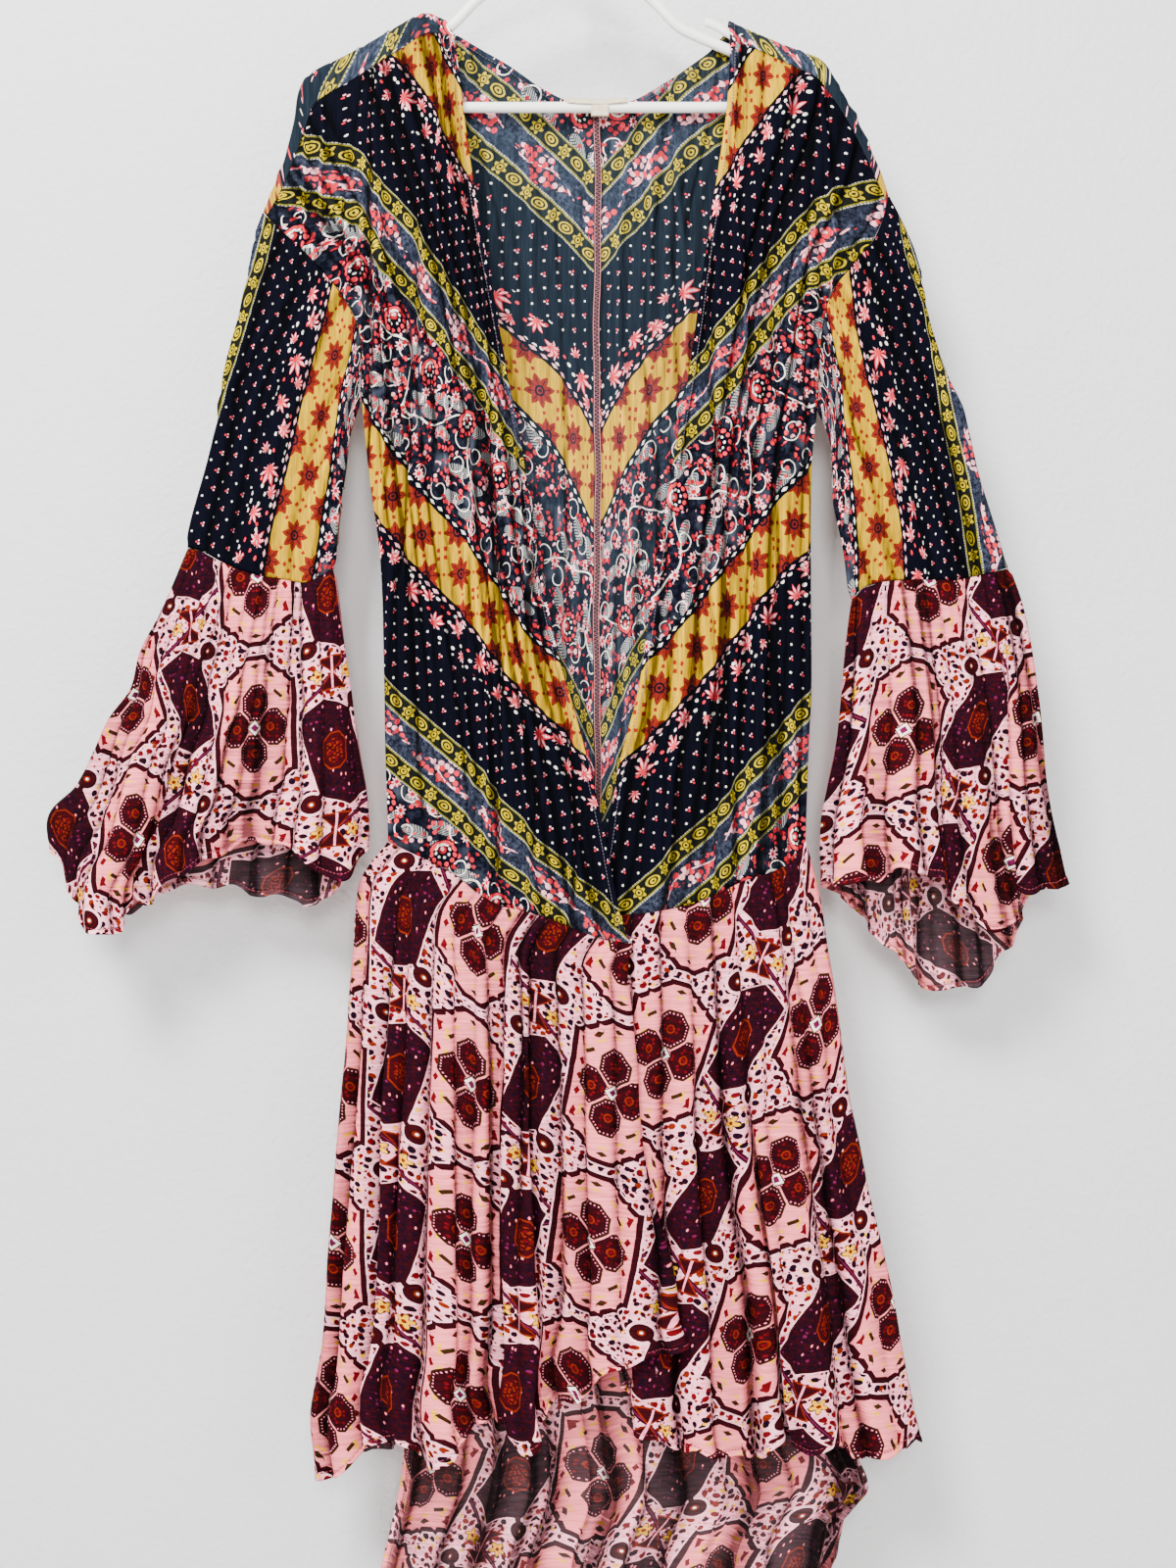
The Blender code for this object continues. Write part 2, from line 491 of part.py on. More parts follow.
def tube(name, points, radius, cyclic, sides=3):
    """A round tube along a smooth curve, as a mesh."""
    curve = bpy.data.curves.new(name, "CURVE")
    curve.dimensions = "3D"
    curve.bevel_depth = radius * MM
    curve.bevel_resolution = sides
    curve.use_fill_caps = True
    spline = curve.splines.new("POLY")
    spline.points.add(len(points) - 1)
    spline.use_cyclic_u = cyclic
    for point, (x, z) in zip(spline.points, points):
        point.co = (x * MM, 0, z * MM, 1)
    guide = bpy.data.objects.new(name, curve)
    bpy.context.scene.collection.objects.link(guide)
    bpy.context.view_layer.update()
    data = bpy.data.meshes.new_from_object(guide.evaluated_get(bpy.context.evaluated_depsgraph_get()))
    bpy.data.objects.remove(guide)
    bpy.data.curves.remove(curve)
    mesh = bmesh.new()
    mesh.from_mesh(data)
    bmesh.ops.remove_doubles(mesh, verts=mesh.verts, dist=0.00005)
    bmesh.ops.recalc_face_normals(mesh, faces=mesh.faces)
    mesh.to_mesh(data)
    mesh.free()
    return data


def arc(centre_x, centre_z, radius, start, stop, steps):
    angles = np.radians(np.linspace(start, stop, steps + 1))
    return [(centre_x + radius * math.cos(a), centre_z + radius * math.sin(a)) for a in angles]


def hanger(material):
    """A tube loop with its neck, hook and strap notches, joined into one body."""
    tip_r = 10.5
    tip_z = BAR_Z + tip_r
    tip_x = HANGER_HALF - tip_r
    arm_angle = math.degrees(math.atan(ARM_SLOPE))
    right = [(0, NECK_Z), (36, -104), (62, -116), (78, -130), (KINK_X, KINK_Z + 1), (106, KINK_Z - 6)]
    right += arc(tip_x, tip_z, tip_r, 90 - arm_angle, -90, 8)
    left = [(-x, z) for x, z in right[:0:-1]]
    loop = tube("hanger", right + left, TUBE_R, True)
    body = add_object("hanger", loop, material)
    stem = [(0, NECK_Z + 2), (0, -60), (-2, -52), (-9, -45), (-17.5, -38)]
    stem += arc(0, -HOOK_BEND_R + HOOK_R, HOOK_BEND_R, 205, -25, 20)
    parts = [tube("hook", stem, HOOK_R, False)]
    for way in (-1, 1):
        notch = [(STUB_START_X, STUB_START_Z), (128, -148), (139, -154.5), (150, -163.5), (161, -176.6)]
        parts.append(tube("notch", [(way * x, z) for x, z in notch], STUB_R, False))
    cutters = bpy.data.collections["hanger_parts"]
    for data in parts:
        part = bpy.data.objects.new(data.name, data)
        cutters.objects.link(part)
        part.hide_render = True
        part.display_type = "WIRE"
        join = body.modifiers.new("join " + part.name, "BOOLEAN")
        join.operation = "UNION"
        join.object = part
    neck = bmesh.new()
    bmesh.ops.create_cone(neck, cap_ends=True, segments=16, radius1=6.5 * MM, radius2=5.2 * MM, depth=24 * MM)
    bmesh.ops.translate(neck, verts=neck.verts, vec=Vector((0, 0, (NECK_Z + 8) * MM)))
    data = bpy.data.meshes.new("neck")
    neck.to_mesh(data)
    neck.free()
    part = bpy.data.objects.new("neck", data)
    cutters.objects.link(part)
    part.hide_render = True
    part.display_type = "WIRE"
    join = body.modifiers.new("join neck", "BOOLEAN")
    join.operation = "UNION"
    join.object = part


def labels(material):
    """The neck label lies flat behind the bar. The size tag comes from it over the bar to the front."""
    across = np.linspace(-0.5, 0.5, 3)
    down = np.linspace(0, 1, 3)
    label = np.array([[(LABEL["x"] + LABEL["width"] * a, LABEL["y"], LABEL["top"] - LABEL["height"] * d)
                       for a in across] for d in down])
    strip = cloth("neck_label", [label], material)
    strip.modifiers["cloth wall"].thickness = LABEL["thick"] * MM
    path = [(TAG["roll"], TAG["back_end"]), (TAG["roll"], BAR_Z)]
    path += [(TAG["roll"] * math.cos(a), BAR_Z + TAG["roll"] * math.sin(a)) for a in np.radians([30, 60, 90, 120, 150])]
    path += [(-TAG["roll"], BAR_Z), (-TAG["roll"] - 0.4, TAG["front_end"])]
    tag = np.array([[(TAG["x"] + TAG["width"] * a, y, z) for a in across] for y, z in path])
    strip = cloth("size_tag", [tag], material)
    strip.modifiers["cloth wall"].thickness = TAG["thick"] * MM


def main():
    clear_scene()
    for name in ("kimono_dress", "hanger_parts"):
        bpy.context.scene.collection.children.link(bpy.data.collections.new(name))
    navy = make_material("navy_print", 0.85)
    pink = make_material("pink_print", 0.85)
    front_left = front_panel("front_left", LEFT_SHOULDER, LEFT_ARMHOLE, LEFT_SIDE, LEFT_EDGE, LEFT_WAIST,
                             LEFT_FRONT_FOLDS, navy)
    front_right = front_panel("front_right", RIGHT_SHOULDER, RIGHT_ARMHOLE, RIGHT_SIDE, RIGHT_EDGE,
                              RIGHT_WAIST, RIGHT_FRONT_FOLDS, navy)
    back_left = back_panel("back_left", LEFT_SHOULDER, LEFT_ARMHOLE, LEFT_SIDE, LEFT_NECK,
                           BACK_WAIST_LEFT, LEFT_BACK_FOLDS, navy)
    back_right = back_panel("back_right", RIGHT_SHOULDER, RIGHT_ARMHOLE, RIGHT_SIDE, RIGHT_NECK,
                            BACK_WAIST_RIGHT, RIGHT_BACK_FOLDS, navy)
    sleeve("sleeve_left", LEFT_ARMHOLE, LEFT_CUFF, LEFT_SLEEVE_OUTER, LEFT_SLEEVE_INNER, LEFT_SLEEVE_FOLDS, navy)
    sleeve("sleeve_right", RIGHT_ARMHOLE, RIGHT_CUFF, RIGHT_SLEEVE_OUTER, RIGHT_SLEEVE_INNER,
           RIGHT_SLEEVE_FOLDS, navy)
    flounce("flounce_left", LEFT_CUFF, LEFT_FLOUNCE_OUTER, LEFT_FLOUNCE_INNER, LEFT_FLOUNCE_FRONT,
            LEFT_FLOUNCE_BACK, pink)
    flounce("flounce_right", RIGHT_CUFF, RIGHT_FLOUNCE_OUTER, RIGHT_FLOUNCE_INNER, RIGHT_FLOUNCE_FRONT,
            RIGHT_FLOUNCE_BACK, pink)
    skirt_front(front_left, front_right, pink)
    skirt_back(back_left, back_right, pink)
    labels(make_material("white_tape", 0.7))
    hanger(make_material("white_plastic", 0.35))


main()
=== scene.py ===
# %% [markdown]
# # An open kimono dress on a clothes hanger
#
# This lesson dresses a imported frame of the dress: cut pieces of crinkled cloth that hang, nearly flat,
# from a plastic hanger. Everything is in metres, +Z is up and the front faces -Y. The origin is the
# inside top of the hanger's hook. Left means -X, the left side as one faces the dress. The frame comes
# in first, and its size is kept, so that the deepest folds can be held close to it.

# %% The frame
import math

import bpy
import numpy as np
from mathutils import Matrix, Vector


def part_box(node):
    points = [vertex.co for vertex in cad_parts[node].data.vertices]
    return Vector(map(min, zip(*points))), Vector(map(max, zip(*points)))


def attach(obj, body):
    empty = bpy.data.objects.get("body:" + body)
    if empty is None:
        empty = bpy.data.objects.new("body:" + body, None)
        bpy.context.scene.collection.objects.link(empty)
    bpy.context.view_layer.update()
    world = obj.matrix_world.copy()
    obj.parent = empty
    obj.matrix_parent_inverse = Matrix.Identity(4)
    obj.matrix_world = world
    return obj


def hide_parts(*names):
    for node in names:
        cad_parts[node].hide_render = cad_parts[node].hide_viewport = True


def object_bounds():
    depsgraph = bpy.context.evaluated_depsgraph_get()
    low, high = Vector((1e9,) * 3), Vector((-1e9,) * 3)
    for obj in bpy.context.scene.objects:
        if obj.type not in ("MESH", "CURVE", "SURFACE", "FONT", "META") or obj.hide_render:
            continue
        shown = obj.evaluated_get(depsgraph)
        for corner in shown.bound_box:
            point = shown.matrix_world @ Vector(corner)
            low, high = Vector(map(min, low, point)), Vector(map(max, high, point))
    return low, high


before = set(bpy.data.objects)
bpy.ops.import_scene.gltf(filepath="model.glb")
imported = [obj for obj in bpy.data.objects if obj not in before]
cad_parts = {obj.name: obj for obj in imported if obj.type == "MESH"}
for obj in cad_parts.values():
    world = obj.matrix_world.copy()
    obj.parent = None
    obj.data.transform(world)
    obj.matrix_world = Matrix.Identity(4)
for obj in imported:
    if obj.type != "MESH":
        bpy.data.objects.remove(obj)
frame_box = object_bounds()
MM = 0.001
scene = bpy.context.scene
bpy.ops.object.select_all(action="DESELECT")
print("frame nodes:", ", ".join(sorted(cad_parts)))

# %% [markdown]
# ## Camera
#
# The dress hangs against a wall and the camera looks straight at it, at the height of its middle. The
# view is 1.28 m tall at the cloth. The hem's train and the hook lie past the picture's edges.

# %% Camera
VIEW_HEIGHT = 1.28
VIEW_CENTRE = (0.0192, -0.008, -0.768)
CAMERA_AWAY = 1.5
SENSOR = 36.0

bpy.ops.object.camera_add(
    location=(VIEW_CENTRE[0], VIEW_CENTRE[1] - CAMERA_AWAY, VIEW_CENTRE[2]),
    rotation=(math.radians(90), 0, 0))
camera = bpy.context.object
camera.name = "camera"
camera.data.sensor_width = SENSOR
camera.data.lens = SENSOR * CAMERA_AWAY / VIEW_HEIGHT
camera.data.clip_start = 0.05
scene.camera = camera
print(f"lens {camera.data.lens:.1f} mm")

# %% [markdown]
# ## Sizes of the cut pieces
#
# The tables are in millimetres. Each names the places that shape one seam, edge or fold, from top to
# bottom or from the outside in. They are the same seams that the solid frame was built on, so the fine
# cloth lies where the plain pieces lie.

# %% Shoulders, armholes and necks
SIDES = ("left", "right")
SHOULDER = {
    # ridge_x, ridge_z over the hanger; seam_x, seam_z of the forward seam; radius of the roll
    "left": [(-98.0, -142.5, -89.6, -157.6, 6.3), (-115.0, -136.0, -112.0, -155.0, 6.3),
             (-140.0, -148.5, -135.0, -168.5, 6.3), (-157.0, -158.5, -155.0, -181.0, 6.3),
             (-181.0, -171.5, -177.0, -195.0, 6.3), (-206.0, -184.0, -199.0, -208.0, 6.3),
             (-217.6, -199.0, -206.5, -217.0, 6.0), (-222.0, -225.0, -212.0, -232.0, 5.2),
             (-229.0, -252.0, -221.0, -257.0, 4.2), (-239.0, -279.0, -232.5, -283.0, 3.2)],
    "right": [(134.4, -142.8, 135.2, -160.0, 6.3), (150.0, -149.5, 150.4, -165.0, 6.3),
              (170.0, -158.0, 170.0, -174.0, 6.3), (190.0, -166.0, 189.5, -183.0, 6.3),
              (210.4, -174.5, 204.5, -190.0, 6.0), (223.0, -192.0, 214.0, -200.0, 5.4),
              (240.0, -222.4, 232.0, -227.0, 4.4), (252.8, -250.4, 246.0, -254.0, 3.5),
              (261.0, -271.0, 255.5, -274.0, 2.9)],
}
ARMHOLE = {
    # x, z
    "left": [(-247.2, -299.2), (-236.8, -310.4), (-210, -336), (-184.8, -364), (-170, -390), (-165.6, -412),
             (-166.4, -452)],
    "right": [(265.6, -286), (256.5, -316), (235.2, -344), (220.8, -359), (211.2, -392), (207.6, -430),
              (207.2, -462)],
}
ARMHOLE_DEPTH = 8.0
CENTRE_X = 26.4
NECK = {
    # x, z, depth behind the middle
    "left": [(26.4, -207.2, 10.0), (3, -204, 10.0), (-22, -191.5, 9.6), (-46, -175, 9.0), (-72, -160.5, 8.0)],
    "right": [(26.4, -207.2, 10.0), (52, -205, 10.0), (76, -193, 9.6), (98, -179.5, 9.0), (120, -163.5, 8.0)],
}
print("shoulder stations:", {side: len(rows) for side, rows in SHOULDER.items()})

# %% Sides, front edges and waist seams
SIDE = {
    # x, z from the underarm to the waist
    "left": [(-166.4, -452), (-160.8, -512), (-152, -576), (-149.6, -614), (-148, -690), (-147.2, -740),
             (-144.8, -815.2)],
    "right": [(207.2, -462), (202.4, -512), (202.0, -600), (202.4, -690), (200, -742), (197.6, -814.4)],
}
EDGE = {
    # x, z, depth in front of the middle, from the shoulder seam to the waist
    "left": [(-89.6, -157.6, 7), (-85.6, -190, 9), (-80, -235, 10), (-68.8, -312, 12), (-57.6, -370, 13),
             (-44.8, -444, 14), (-34.4, -495, 15), (-22.4, -576, 16), (-3.2, -672, 18), (11.2, -720, 19),
             (29.6, -794, 21), (42.4, -860, 22), (52, -896.8, 22)],
    "right": [(135.2, -160, 7), (132.8, -212, 10), (124, -276, 11), (113.6, -345, 12), (103.2, -422, 13),
              (92.8, -485, 13), (76.8, -576, 13), (63.2, -672, 13), (55.2, -716, 13), (44, -752, 13),
              (37.6, -794, 13), (30, -840, 13), (22, -872, 13)],
}
WAIST = {
    # x, z, depth from the side to the front edge
    "left": [(-144.8, -815.2, 0.8), (-119.2, -827, 7), (-93.6, -838.4, 11), (-75.2, -853.6, 14),
             (-52.8, -866.4, 16), (-32, -871.2, 17), (-1.6, -880.8, 19), (24, -892, 21), (52, -896.8, 22)],
    "right": [(197.6, -814.4, 0.8), (189.6, -828.8, 5), (166.4, -840.8, 9), (140.8, -848.8, 11),
              (116, -861.6, 12), (90.4, -868.8, 13), (54.4, -874.4, 13), (22, -872, 13)],
}
BACK_WAIST = {
    "left": [(-144.8, -815.2, 0.8), (-110, -833, 7), (-60, -852, 9), (-10, -863, 10), (26.4, -866, 10)],
    "right": [(197.6, -814.4, 0.8), (162, -833, 7), (112, -852, 9), (62, -863, 10), (26.4, -866, 10)],
}
print("front edges:", {side: len(rows) for side, rows in EDGE.items()})

# %% Sleeves and flounces
SLEEVE_OUTER = {
    "left": [(-247.2, -299.2), (-254.4, -325), (-260, -359), (-268.8, -396), (-277.6, -430), (-281.5, -464),
             (-291.2, -508), (-301.6, -544), (-308.8, -574.4)],
    "right": [(265.6, -286), (278.4, -312), (289.6, -342), (296, -381), (308.8, -422), (327.2, -468),
              (338.4, -513), (352, -554), (363.2, -591)],
}
SLEEVE_INNER = {
    "left": [(-166.4, -452), (-176.8, -480), (-181, -512), (-186.4, -544), (-190.4, -592)],
    "right": [(207.2, -462), (217, -480), (220.5, -500), (222, -536), (230.4, -574), (236, -617)],
}
CUFF = {
    "left": [(-308.8, -574.4), (-292, -579.2), (-280.8, -586.4), (-256.8, -596), (-233.6, -600),
             (-210.4, -603), (-190.4, -592)],
    "right": [(363.2, -591), (340, -597), (317.6, -601.6), (288.8, -600.8), (264, -602), (246.4, -606.4),
              (236, -617)],
}
CUFF_DEPTH = 7.0
FLOUNCE_OUTER = {
    "left": [(-308.8, -574.4), (-318.4, -598), (-330, -626), (-346, -657), (-354, -690), (-374, -720),
             (-393, -767), (-414, -788), (-422, -808), (-419, -826)],
    "right": [(363.2, -591), (374.4, -626), (383.2, -669), (388.8, -712), (394.4, -769), (406.4, -829),
              (410, -845)],
}
FLOUNCE_INNER = {
    "left": [(-190.4, -592), (-186.4, -624), (-177, -697), (-171, -743), (-165, -786), (-166, -824)],
    "right": [(236, -617), (233, -650), (230.4, -683), (225, -741), (214, -800), (215, -846)],
}
# A hem has a row for each fold's ridge or valley: share of the cloth (0 to 100), x, z, depth.
FLOUNCE_FRONT = {
    "left": [(0, -419, -826, 0), (4, -408, -834, 8), (9, -402, -845, 12), (14, -393, -862, 16),
             (19, -391, -883, 20), (24, -374, -893, 24), (30, -359, -888, 20), (35, -352, -862, 10),
             (41, -334, -862, 14), (47, -317, -846, 21), (52, -303, -840, 22), (57, -289, -824, 15),
             (63, -268, -820, 9), (68, -248, -813, 15), (73, -230, -818, 25), (78, -214, -832, 28),
             (84, -196, -842, 23), (90, -182, -841, 17), (95, -172, -832, 10), (100, -166, -824, 0)],
    "right": [(0, 410, -845, 0), (5, 394, -853, 8), (10, 378, -858, 10), (15, 362, -851, 8),
              (20, 361, -872, 14), (25, 366, -881, 22), (30, 352, -887, 27), (36, 338, -882, 24),
              (41, 320, -872, 28), (46, 311, -862, 26), (51, 305, -840, 24), (57, 292, -835, 30),
              (63, 270, -836, 22), (69, 262, -846, 12), (75, 248, -849, 14), (82, 240, -853, 24),
              (89, 226, -853, 18), (94, 219, -851, 9), (100, 215, -846, 0)],
}
FLOUNCE_BACK = {
    "left": [(0, -419, -826, 0), (8, -400, -846, 8), (16, -384, -868, 14), (24, -362, -872, 10),
             (32, -343, -866, 16), (40, -322, -853, 10), (48, -302, -848, 6), (56, -282, -855, 12),
             (64, -262, -860, 7), (72, -242, -862, 4), (79, -226, -864, 12), (86, -208, -866, 5),
             (92, -190, -853, 12), (96, -176, -838, 7), (100, -166, -824, 0)],
    "right": [(0, 410, -845, 0), (7, 388, -858, 10), (14, 377, -876, 6), (21, 373, -895, 12),
              (28, 358, -913, 6), (35, 344, -928, 12), (42, 332, -938, 5), (48, 319, -940, 12),
              (54, 306, -941, 14), (60, 292, -934, 6), (66, 284, -918, 14), (73, 268, -907, 6),
              (80, 252, -890, 12), (87, 240, -872, 6), (94, 228, -858, 9), (100, 215, -846, 0)],
}
print("flounce folds:", {side: len(rows) for side, rows in FLOUNCE_FRONT.items()})

# %% Skirt
SKIRT_SIDE = {
    "left": [(-144.8, -815.2), (-156, -818), (-164, -833), (-168, -850), (-172, -892), (-176.8, -942),
             (-180, -994), (-185.6, -1044), (-188.8, -1094), (-193.6, -1145), (-196, -1192), (-201, -1248),
             (-207, -1276), (-210, -1304), (-204, -1328)],
    "right": [(197.6, -814.4), (203, -826), (209, -858), (216.8, -909), (225, -959), (231, -1010),
              (240, -1054), (247.6, -1094), (260, -1145), (269.6, -1189), (280, -1248), (293, -1308)],
}
LEFT_HEM = [(0, -204, -1328, 0.8), (5, -184, -1331, 9), (10, -165, -1314, 15), (14, -150, -1303, 23),
            (19, -138, -1297, 14), (24, -127, -1306, 23), (30, -110, -1311, 17), (37, -88, -1313, 24),
            (42, -82, -1292, 13), (49, -56, -1286, 18), (55, -41, -1284, 13), (60, -37, -1300, 22),
            (65, -28, -1306, 27), (69, -18, -1288, 18), (73, -15, -1267, 14), (78, 4, -1272, 22),
            (82, 12, -1259, 16), (87, 26, -1247, 26), (93, 52, -1236, 33), (100, 88, -1226, 35)]
LAP_HEM = [(0, 88, -1226, 35), (20, 91, -1229, 31), (40, 80, -1236, 27.5), (65, 52, -1254, 25),
           (82, 42, -1260, 21.5), (100, 47, -1256, 18)]
RIGHT_HEM = [(0, 47, -1256, 18), (6, 62, -1280, 15), (13, 72, -1303, 22), (20, 94, -1306, 15),
             (27, 106, -1304, 23), (34, 122, -1316, 25), (41, 138, -1306, 15), (48, 158, -1311, 13),
             (55, 172, -1302, 23), (62, 186, -1301, 13), (70, 202, -1313, 23), (77, 222, -1306, 14),
             (85, 246, -1314, 22), (92, 264, -1304, 12), (100, 293, -1308, 0.8)]
KNEE_ROW = [(0, -204, -1328, 0.8), (6, -176, -1322, 8), (12, -146, -1318, 9), (16, -132, -1316, 16),
            (22, -105, -1312, 8), (28, -80, -1312, 16), (34, -56, -1312, 8), (40, -30, -1312, 15),
            (45, -8, -1312, 6), (50, 12, -1312, 16), (54, 30, -1312, 7), (60, 62, -1312, 15),
            (66, 90, -1312, 7), (72, 118, -1312, 16), (78, 150, -1312, 7), (84, 186, -1312, 15),
            (88, 214, -1314, 8), (92, 243, -1319, 13), (96, 268, -1318, 8), (100, 293, -1308, 0.8)]
TRAIN_HEM = [(0, -150, -1462, 8), (10, -138, -1482, 16), (18, -112, -1488, 8), (26, -84, -1494, 18),
             (34, -54, -1498, 8), (42, -26, -1502, 17), (49, 0, -1504, 6), (56, 26, -1504, 18),
             (62, 48, -1502, 7), (70, 78, -1498, 17), (78, 108, -1492, 8), (86, 140, -1482, 17),
             (93, 176, -1464, 9), (100, 208, -1440, 13)]
TRAIN_SIDE = {
    "left": [(-132, -1316), (-137, -1350), (-146, -1395), (-152, -1430), (-150, -1462)],
    "right": [(243, -1319), (252, -1336), (249, -1356), (232, -1372), (232, -1392), (222, -1415),
              (208, -1440)],
}
TRAIN_FROM, TRAIN_TO = 0.16, 0.92
print("skirt hem folds:", len(LEFT_HEM) + len(LAP_HEM) + len(RIGHT_HEM))

# %% [markdown]
# ## From seams to sheets
#
# A cut piece is a sheet between four seams. First its coarse sheet is worked out from the seams, the
# way the frame's pieces were. A smooth curve through the coarse points then gives hundreds of rows and
# columns, enough to carry creases a few millimetres wide.

# %% Curves and coarse sheets
ARM_STEPS = 10
SIDE_STEPS = 9
SLEEVE_SHIFT = 0.8
SIDE_GAP = 0.8


def along(points, fractions):
    """Points at these fractions of the length of a polyline."""
    steps = np.linalg.norm(np.diff(points, axis=0), axis=1)
    length = np.concatenate([[0], np.cumsum(steps)]) / steps.sum()
    return np.column_stack([np.interp(fractions, length, axis) for axis in points.T])


def spline(grid, split, ring=False):
    """The same rows with each step between them split, on a smooth curve through them."""
    if ring:
        padded = np.concatenate([grid[-1:], grid, grid[:2]])
    else:
        padded = np.concatenate([2 * grid[:1] - grid[1:2], grid, 2 * grid[-1:] - grid[-2:-1]])
    t = (np.arange(split) / split).reshape((-1,) + (1,) * (grid.ndim - 1))
    rows = []
    for p0, p1, p2, p3 in zip(padded, padded[1:], padded[2:], padded[3:]):
        rows.append(0.5 * (2 * p1 + (p2 - p0) * t + (2 * p0 - 5 * p1 + 4 * p2 - p3) * t**2
                           + (3 * p1 - p0 - 3 * p2 + p3) * t**3))
    end = grid[:1] if ring else grid[-1:]
    return np.concatenate(rows + [end])


def fine(grid, row_split, column_split, ring=False):
    """A sheet with its rows and columns split. A ring's columns go all the way round."""
    grid = spline(grid, row_split)
    return spline(grid.transpose(1, 0, 2), column_split, ring).transpose(1, 0, 2)


def smooth_path(points, fractions):
    return along(spline(np.array(points, float), 12), fractions)


def hem_path(rows, fractions, side):
    """x, y, z of a hem table at these shares of the cloth, on the front (-1) or the back (+1)."""
    share, x, z, depth = np.array(rows, float).T
    place = np.asarray(fractions) * 100
    return np.column_stack([np.interp(place, share, x), side * np.interp(place, share, depth),
                            np.interp(place, share, z)])


def flat(points, y=0.0):
    points = np.asarray(points, float)
    return np.column_stack([points[:, 0], np.full(len(points), y), points[:, 1]])


def deep(points, side):
    points = np.asarray(points, float)
    return np.column_stack([points[:, 0], side * points[:, 2], points[:, 1]])


def coons(bottom, top, left, right, u, v):
    """The sheet between four edges that meet at their ends."""
    u = np.asarray(u)[None, :, None]
    v = np.asarray(v)[:, None, None]
    corners = ((1 - u) * (1 - v) * bottom[0] + u * (1 - v) * bottom[-1]
               + (1 - u) * v * top[0] + u * v * top[-1])
    return (1 - u) * left[:, None] + u * right[:, None] + (1 - v) * bottom[None] + v * top[None] - corners


def smoothstep(x):
    x = np.clip(x, 0, 1)
    return x * x * (3 - 2 * x)


def add_folds(grid, folds, u, v, side):
    """Raises soft folds out of a coarse sheet. They fade out towards every edge."""
    u, v = np.meshgrid(u, v)
    fade = smoothstep(u / 0.12) * smoothstep((1 - u) / 0.08)
    fade = fade * smoothstep(v / 0.12) * smoothstep((1 - v) / 0.25)
    for top, waist, width, height in folds:
        grid[:, :, 1] += side * height * fade * np.exp(-((u - waist - (top - waist) * v) / width) ** 2)
    return grid


def arm_fractions():
    return (1 - np.cos(np.pi * np.arange(ARM_STEPS + 1) / ARM_STEPS)) / 2


def half_ring(points, depth, side):
    """Half of a flattened tube's edge, from its outer fold to its inner fold."""
    ring = flat(smooth_path(points, arm_fractions()))
    ring[:, 1] = side * depth * np.sin(np.pi * np.arange(ARM_STEPS + 1) / ARM_STEPS)
    return ring


def finer(points, split):
    count = len(points) - 1
    at = np.arange(count * split + 1) / split
    return np.column_stack([np.interp(at, np.arange(count + 1), axis) for axis in points.T])


def tube_sheet(top, bottom, outer, inner, rows, sag):
    """Half of a flattened tube, from its top ring down to its lower edge."""
    v = np.linspace(0, 1, rows + 1)
    grid = coons(top, bottom, flat(smooth_path(outer, v)), flat(smooth_path(inner, v)),
                 np.linspace(0, 1, len(top)), v)
    grid[:, :, 1] = top[None, :, 1] + (bottom - top)[None, :, 1] * (v[:, None] ** sag)
    return grid


# %% Coarse bodice panels
FOLDS = {
    # place across the panel at its top and at its waist, half width as a share, height
    "front_left": [(0.42, 0.34, 0.05, 2.2), (0.62, 0.52, 0.05, 2.6), (0.80, 0.72, 0.05, 3.0),
                   (0.95, 0.90, 0.04, 2.6)],
    "front_right": [(0.40, 0.30, 0.05, 2.4), (0.60, 0.52, 0.05, 2.6), (0.78, 0.72, 0.05, 2.6),
                    (0.94, 0.88, 0.04, 2.4)],
    "back_left": [(0.35, 0.25, 0.05, 2.0), (0.60, 0.48, 0.05, 2.4), (0.82, 0.72, 0.05, 2.0)],
    "back_right": [(0.38, 0.28, 0.05, 2.2), (0.64, 0.52, 0.05, 2.0), (0.84, 0.76, 0.05, 2.2)],
    "sleeve_left": [(0.30, 0.22, 0.05, 2.4), (0.55, 0.48, 0.05, 2.8), (0.78, 0.74, 0.05, 2.2)],
    "sleeve_right": [(0.30, 0.22, 0.04, 4.2), (0.52, 0.42, 0.04, -3.0), (0.74, 0.66, 0.05, 2.8)],
}


def shoulder_strip(side):
    """Rows from the back over the ridge to the forward seam, a column for each station."""
    back_end = half_ring(ARMHOLE[side], ARMHOLE_DEPTH, 1)[:2]
    front_end = half_ring(ARMHOLE[side], ARMHOLE_DEPTH, -1)[:2]
    columns = []
    for ridge_x, ridge_z, seam_x, seam_z, roll in SHOULDER[side]:
        way = np.array([seam_x - ridge_x, seam_z - ridge_z])
        way /= np.linalg.norm(way)
        column = []
        for turn in np.radians([0, 45, 90, 135, 180]):
            x, z = np.array([ridge_x, ridge_z]) + way * roll * (1 - math.sin(turn))
            column.append((x, roll * math.cos(turn), z))
        column.append((seam_x, -roll - 0.6, seam_z))
        columns.append(column)
    columns.append(np.vstack([back_end[1] + (back_end[0] - back_end[1]) * s for s in (0, 0.5, 1.0)]
                             + [front_end[0] + (front_end[1] - front_end[0]) * s for s in (0.4, 0.7, 1.0)]))
    return np.array(columns).transpose(1, 0, 2)


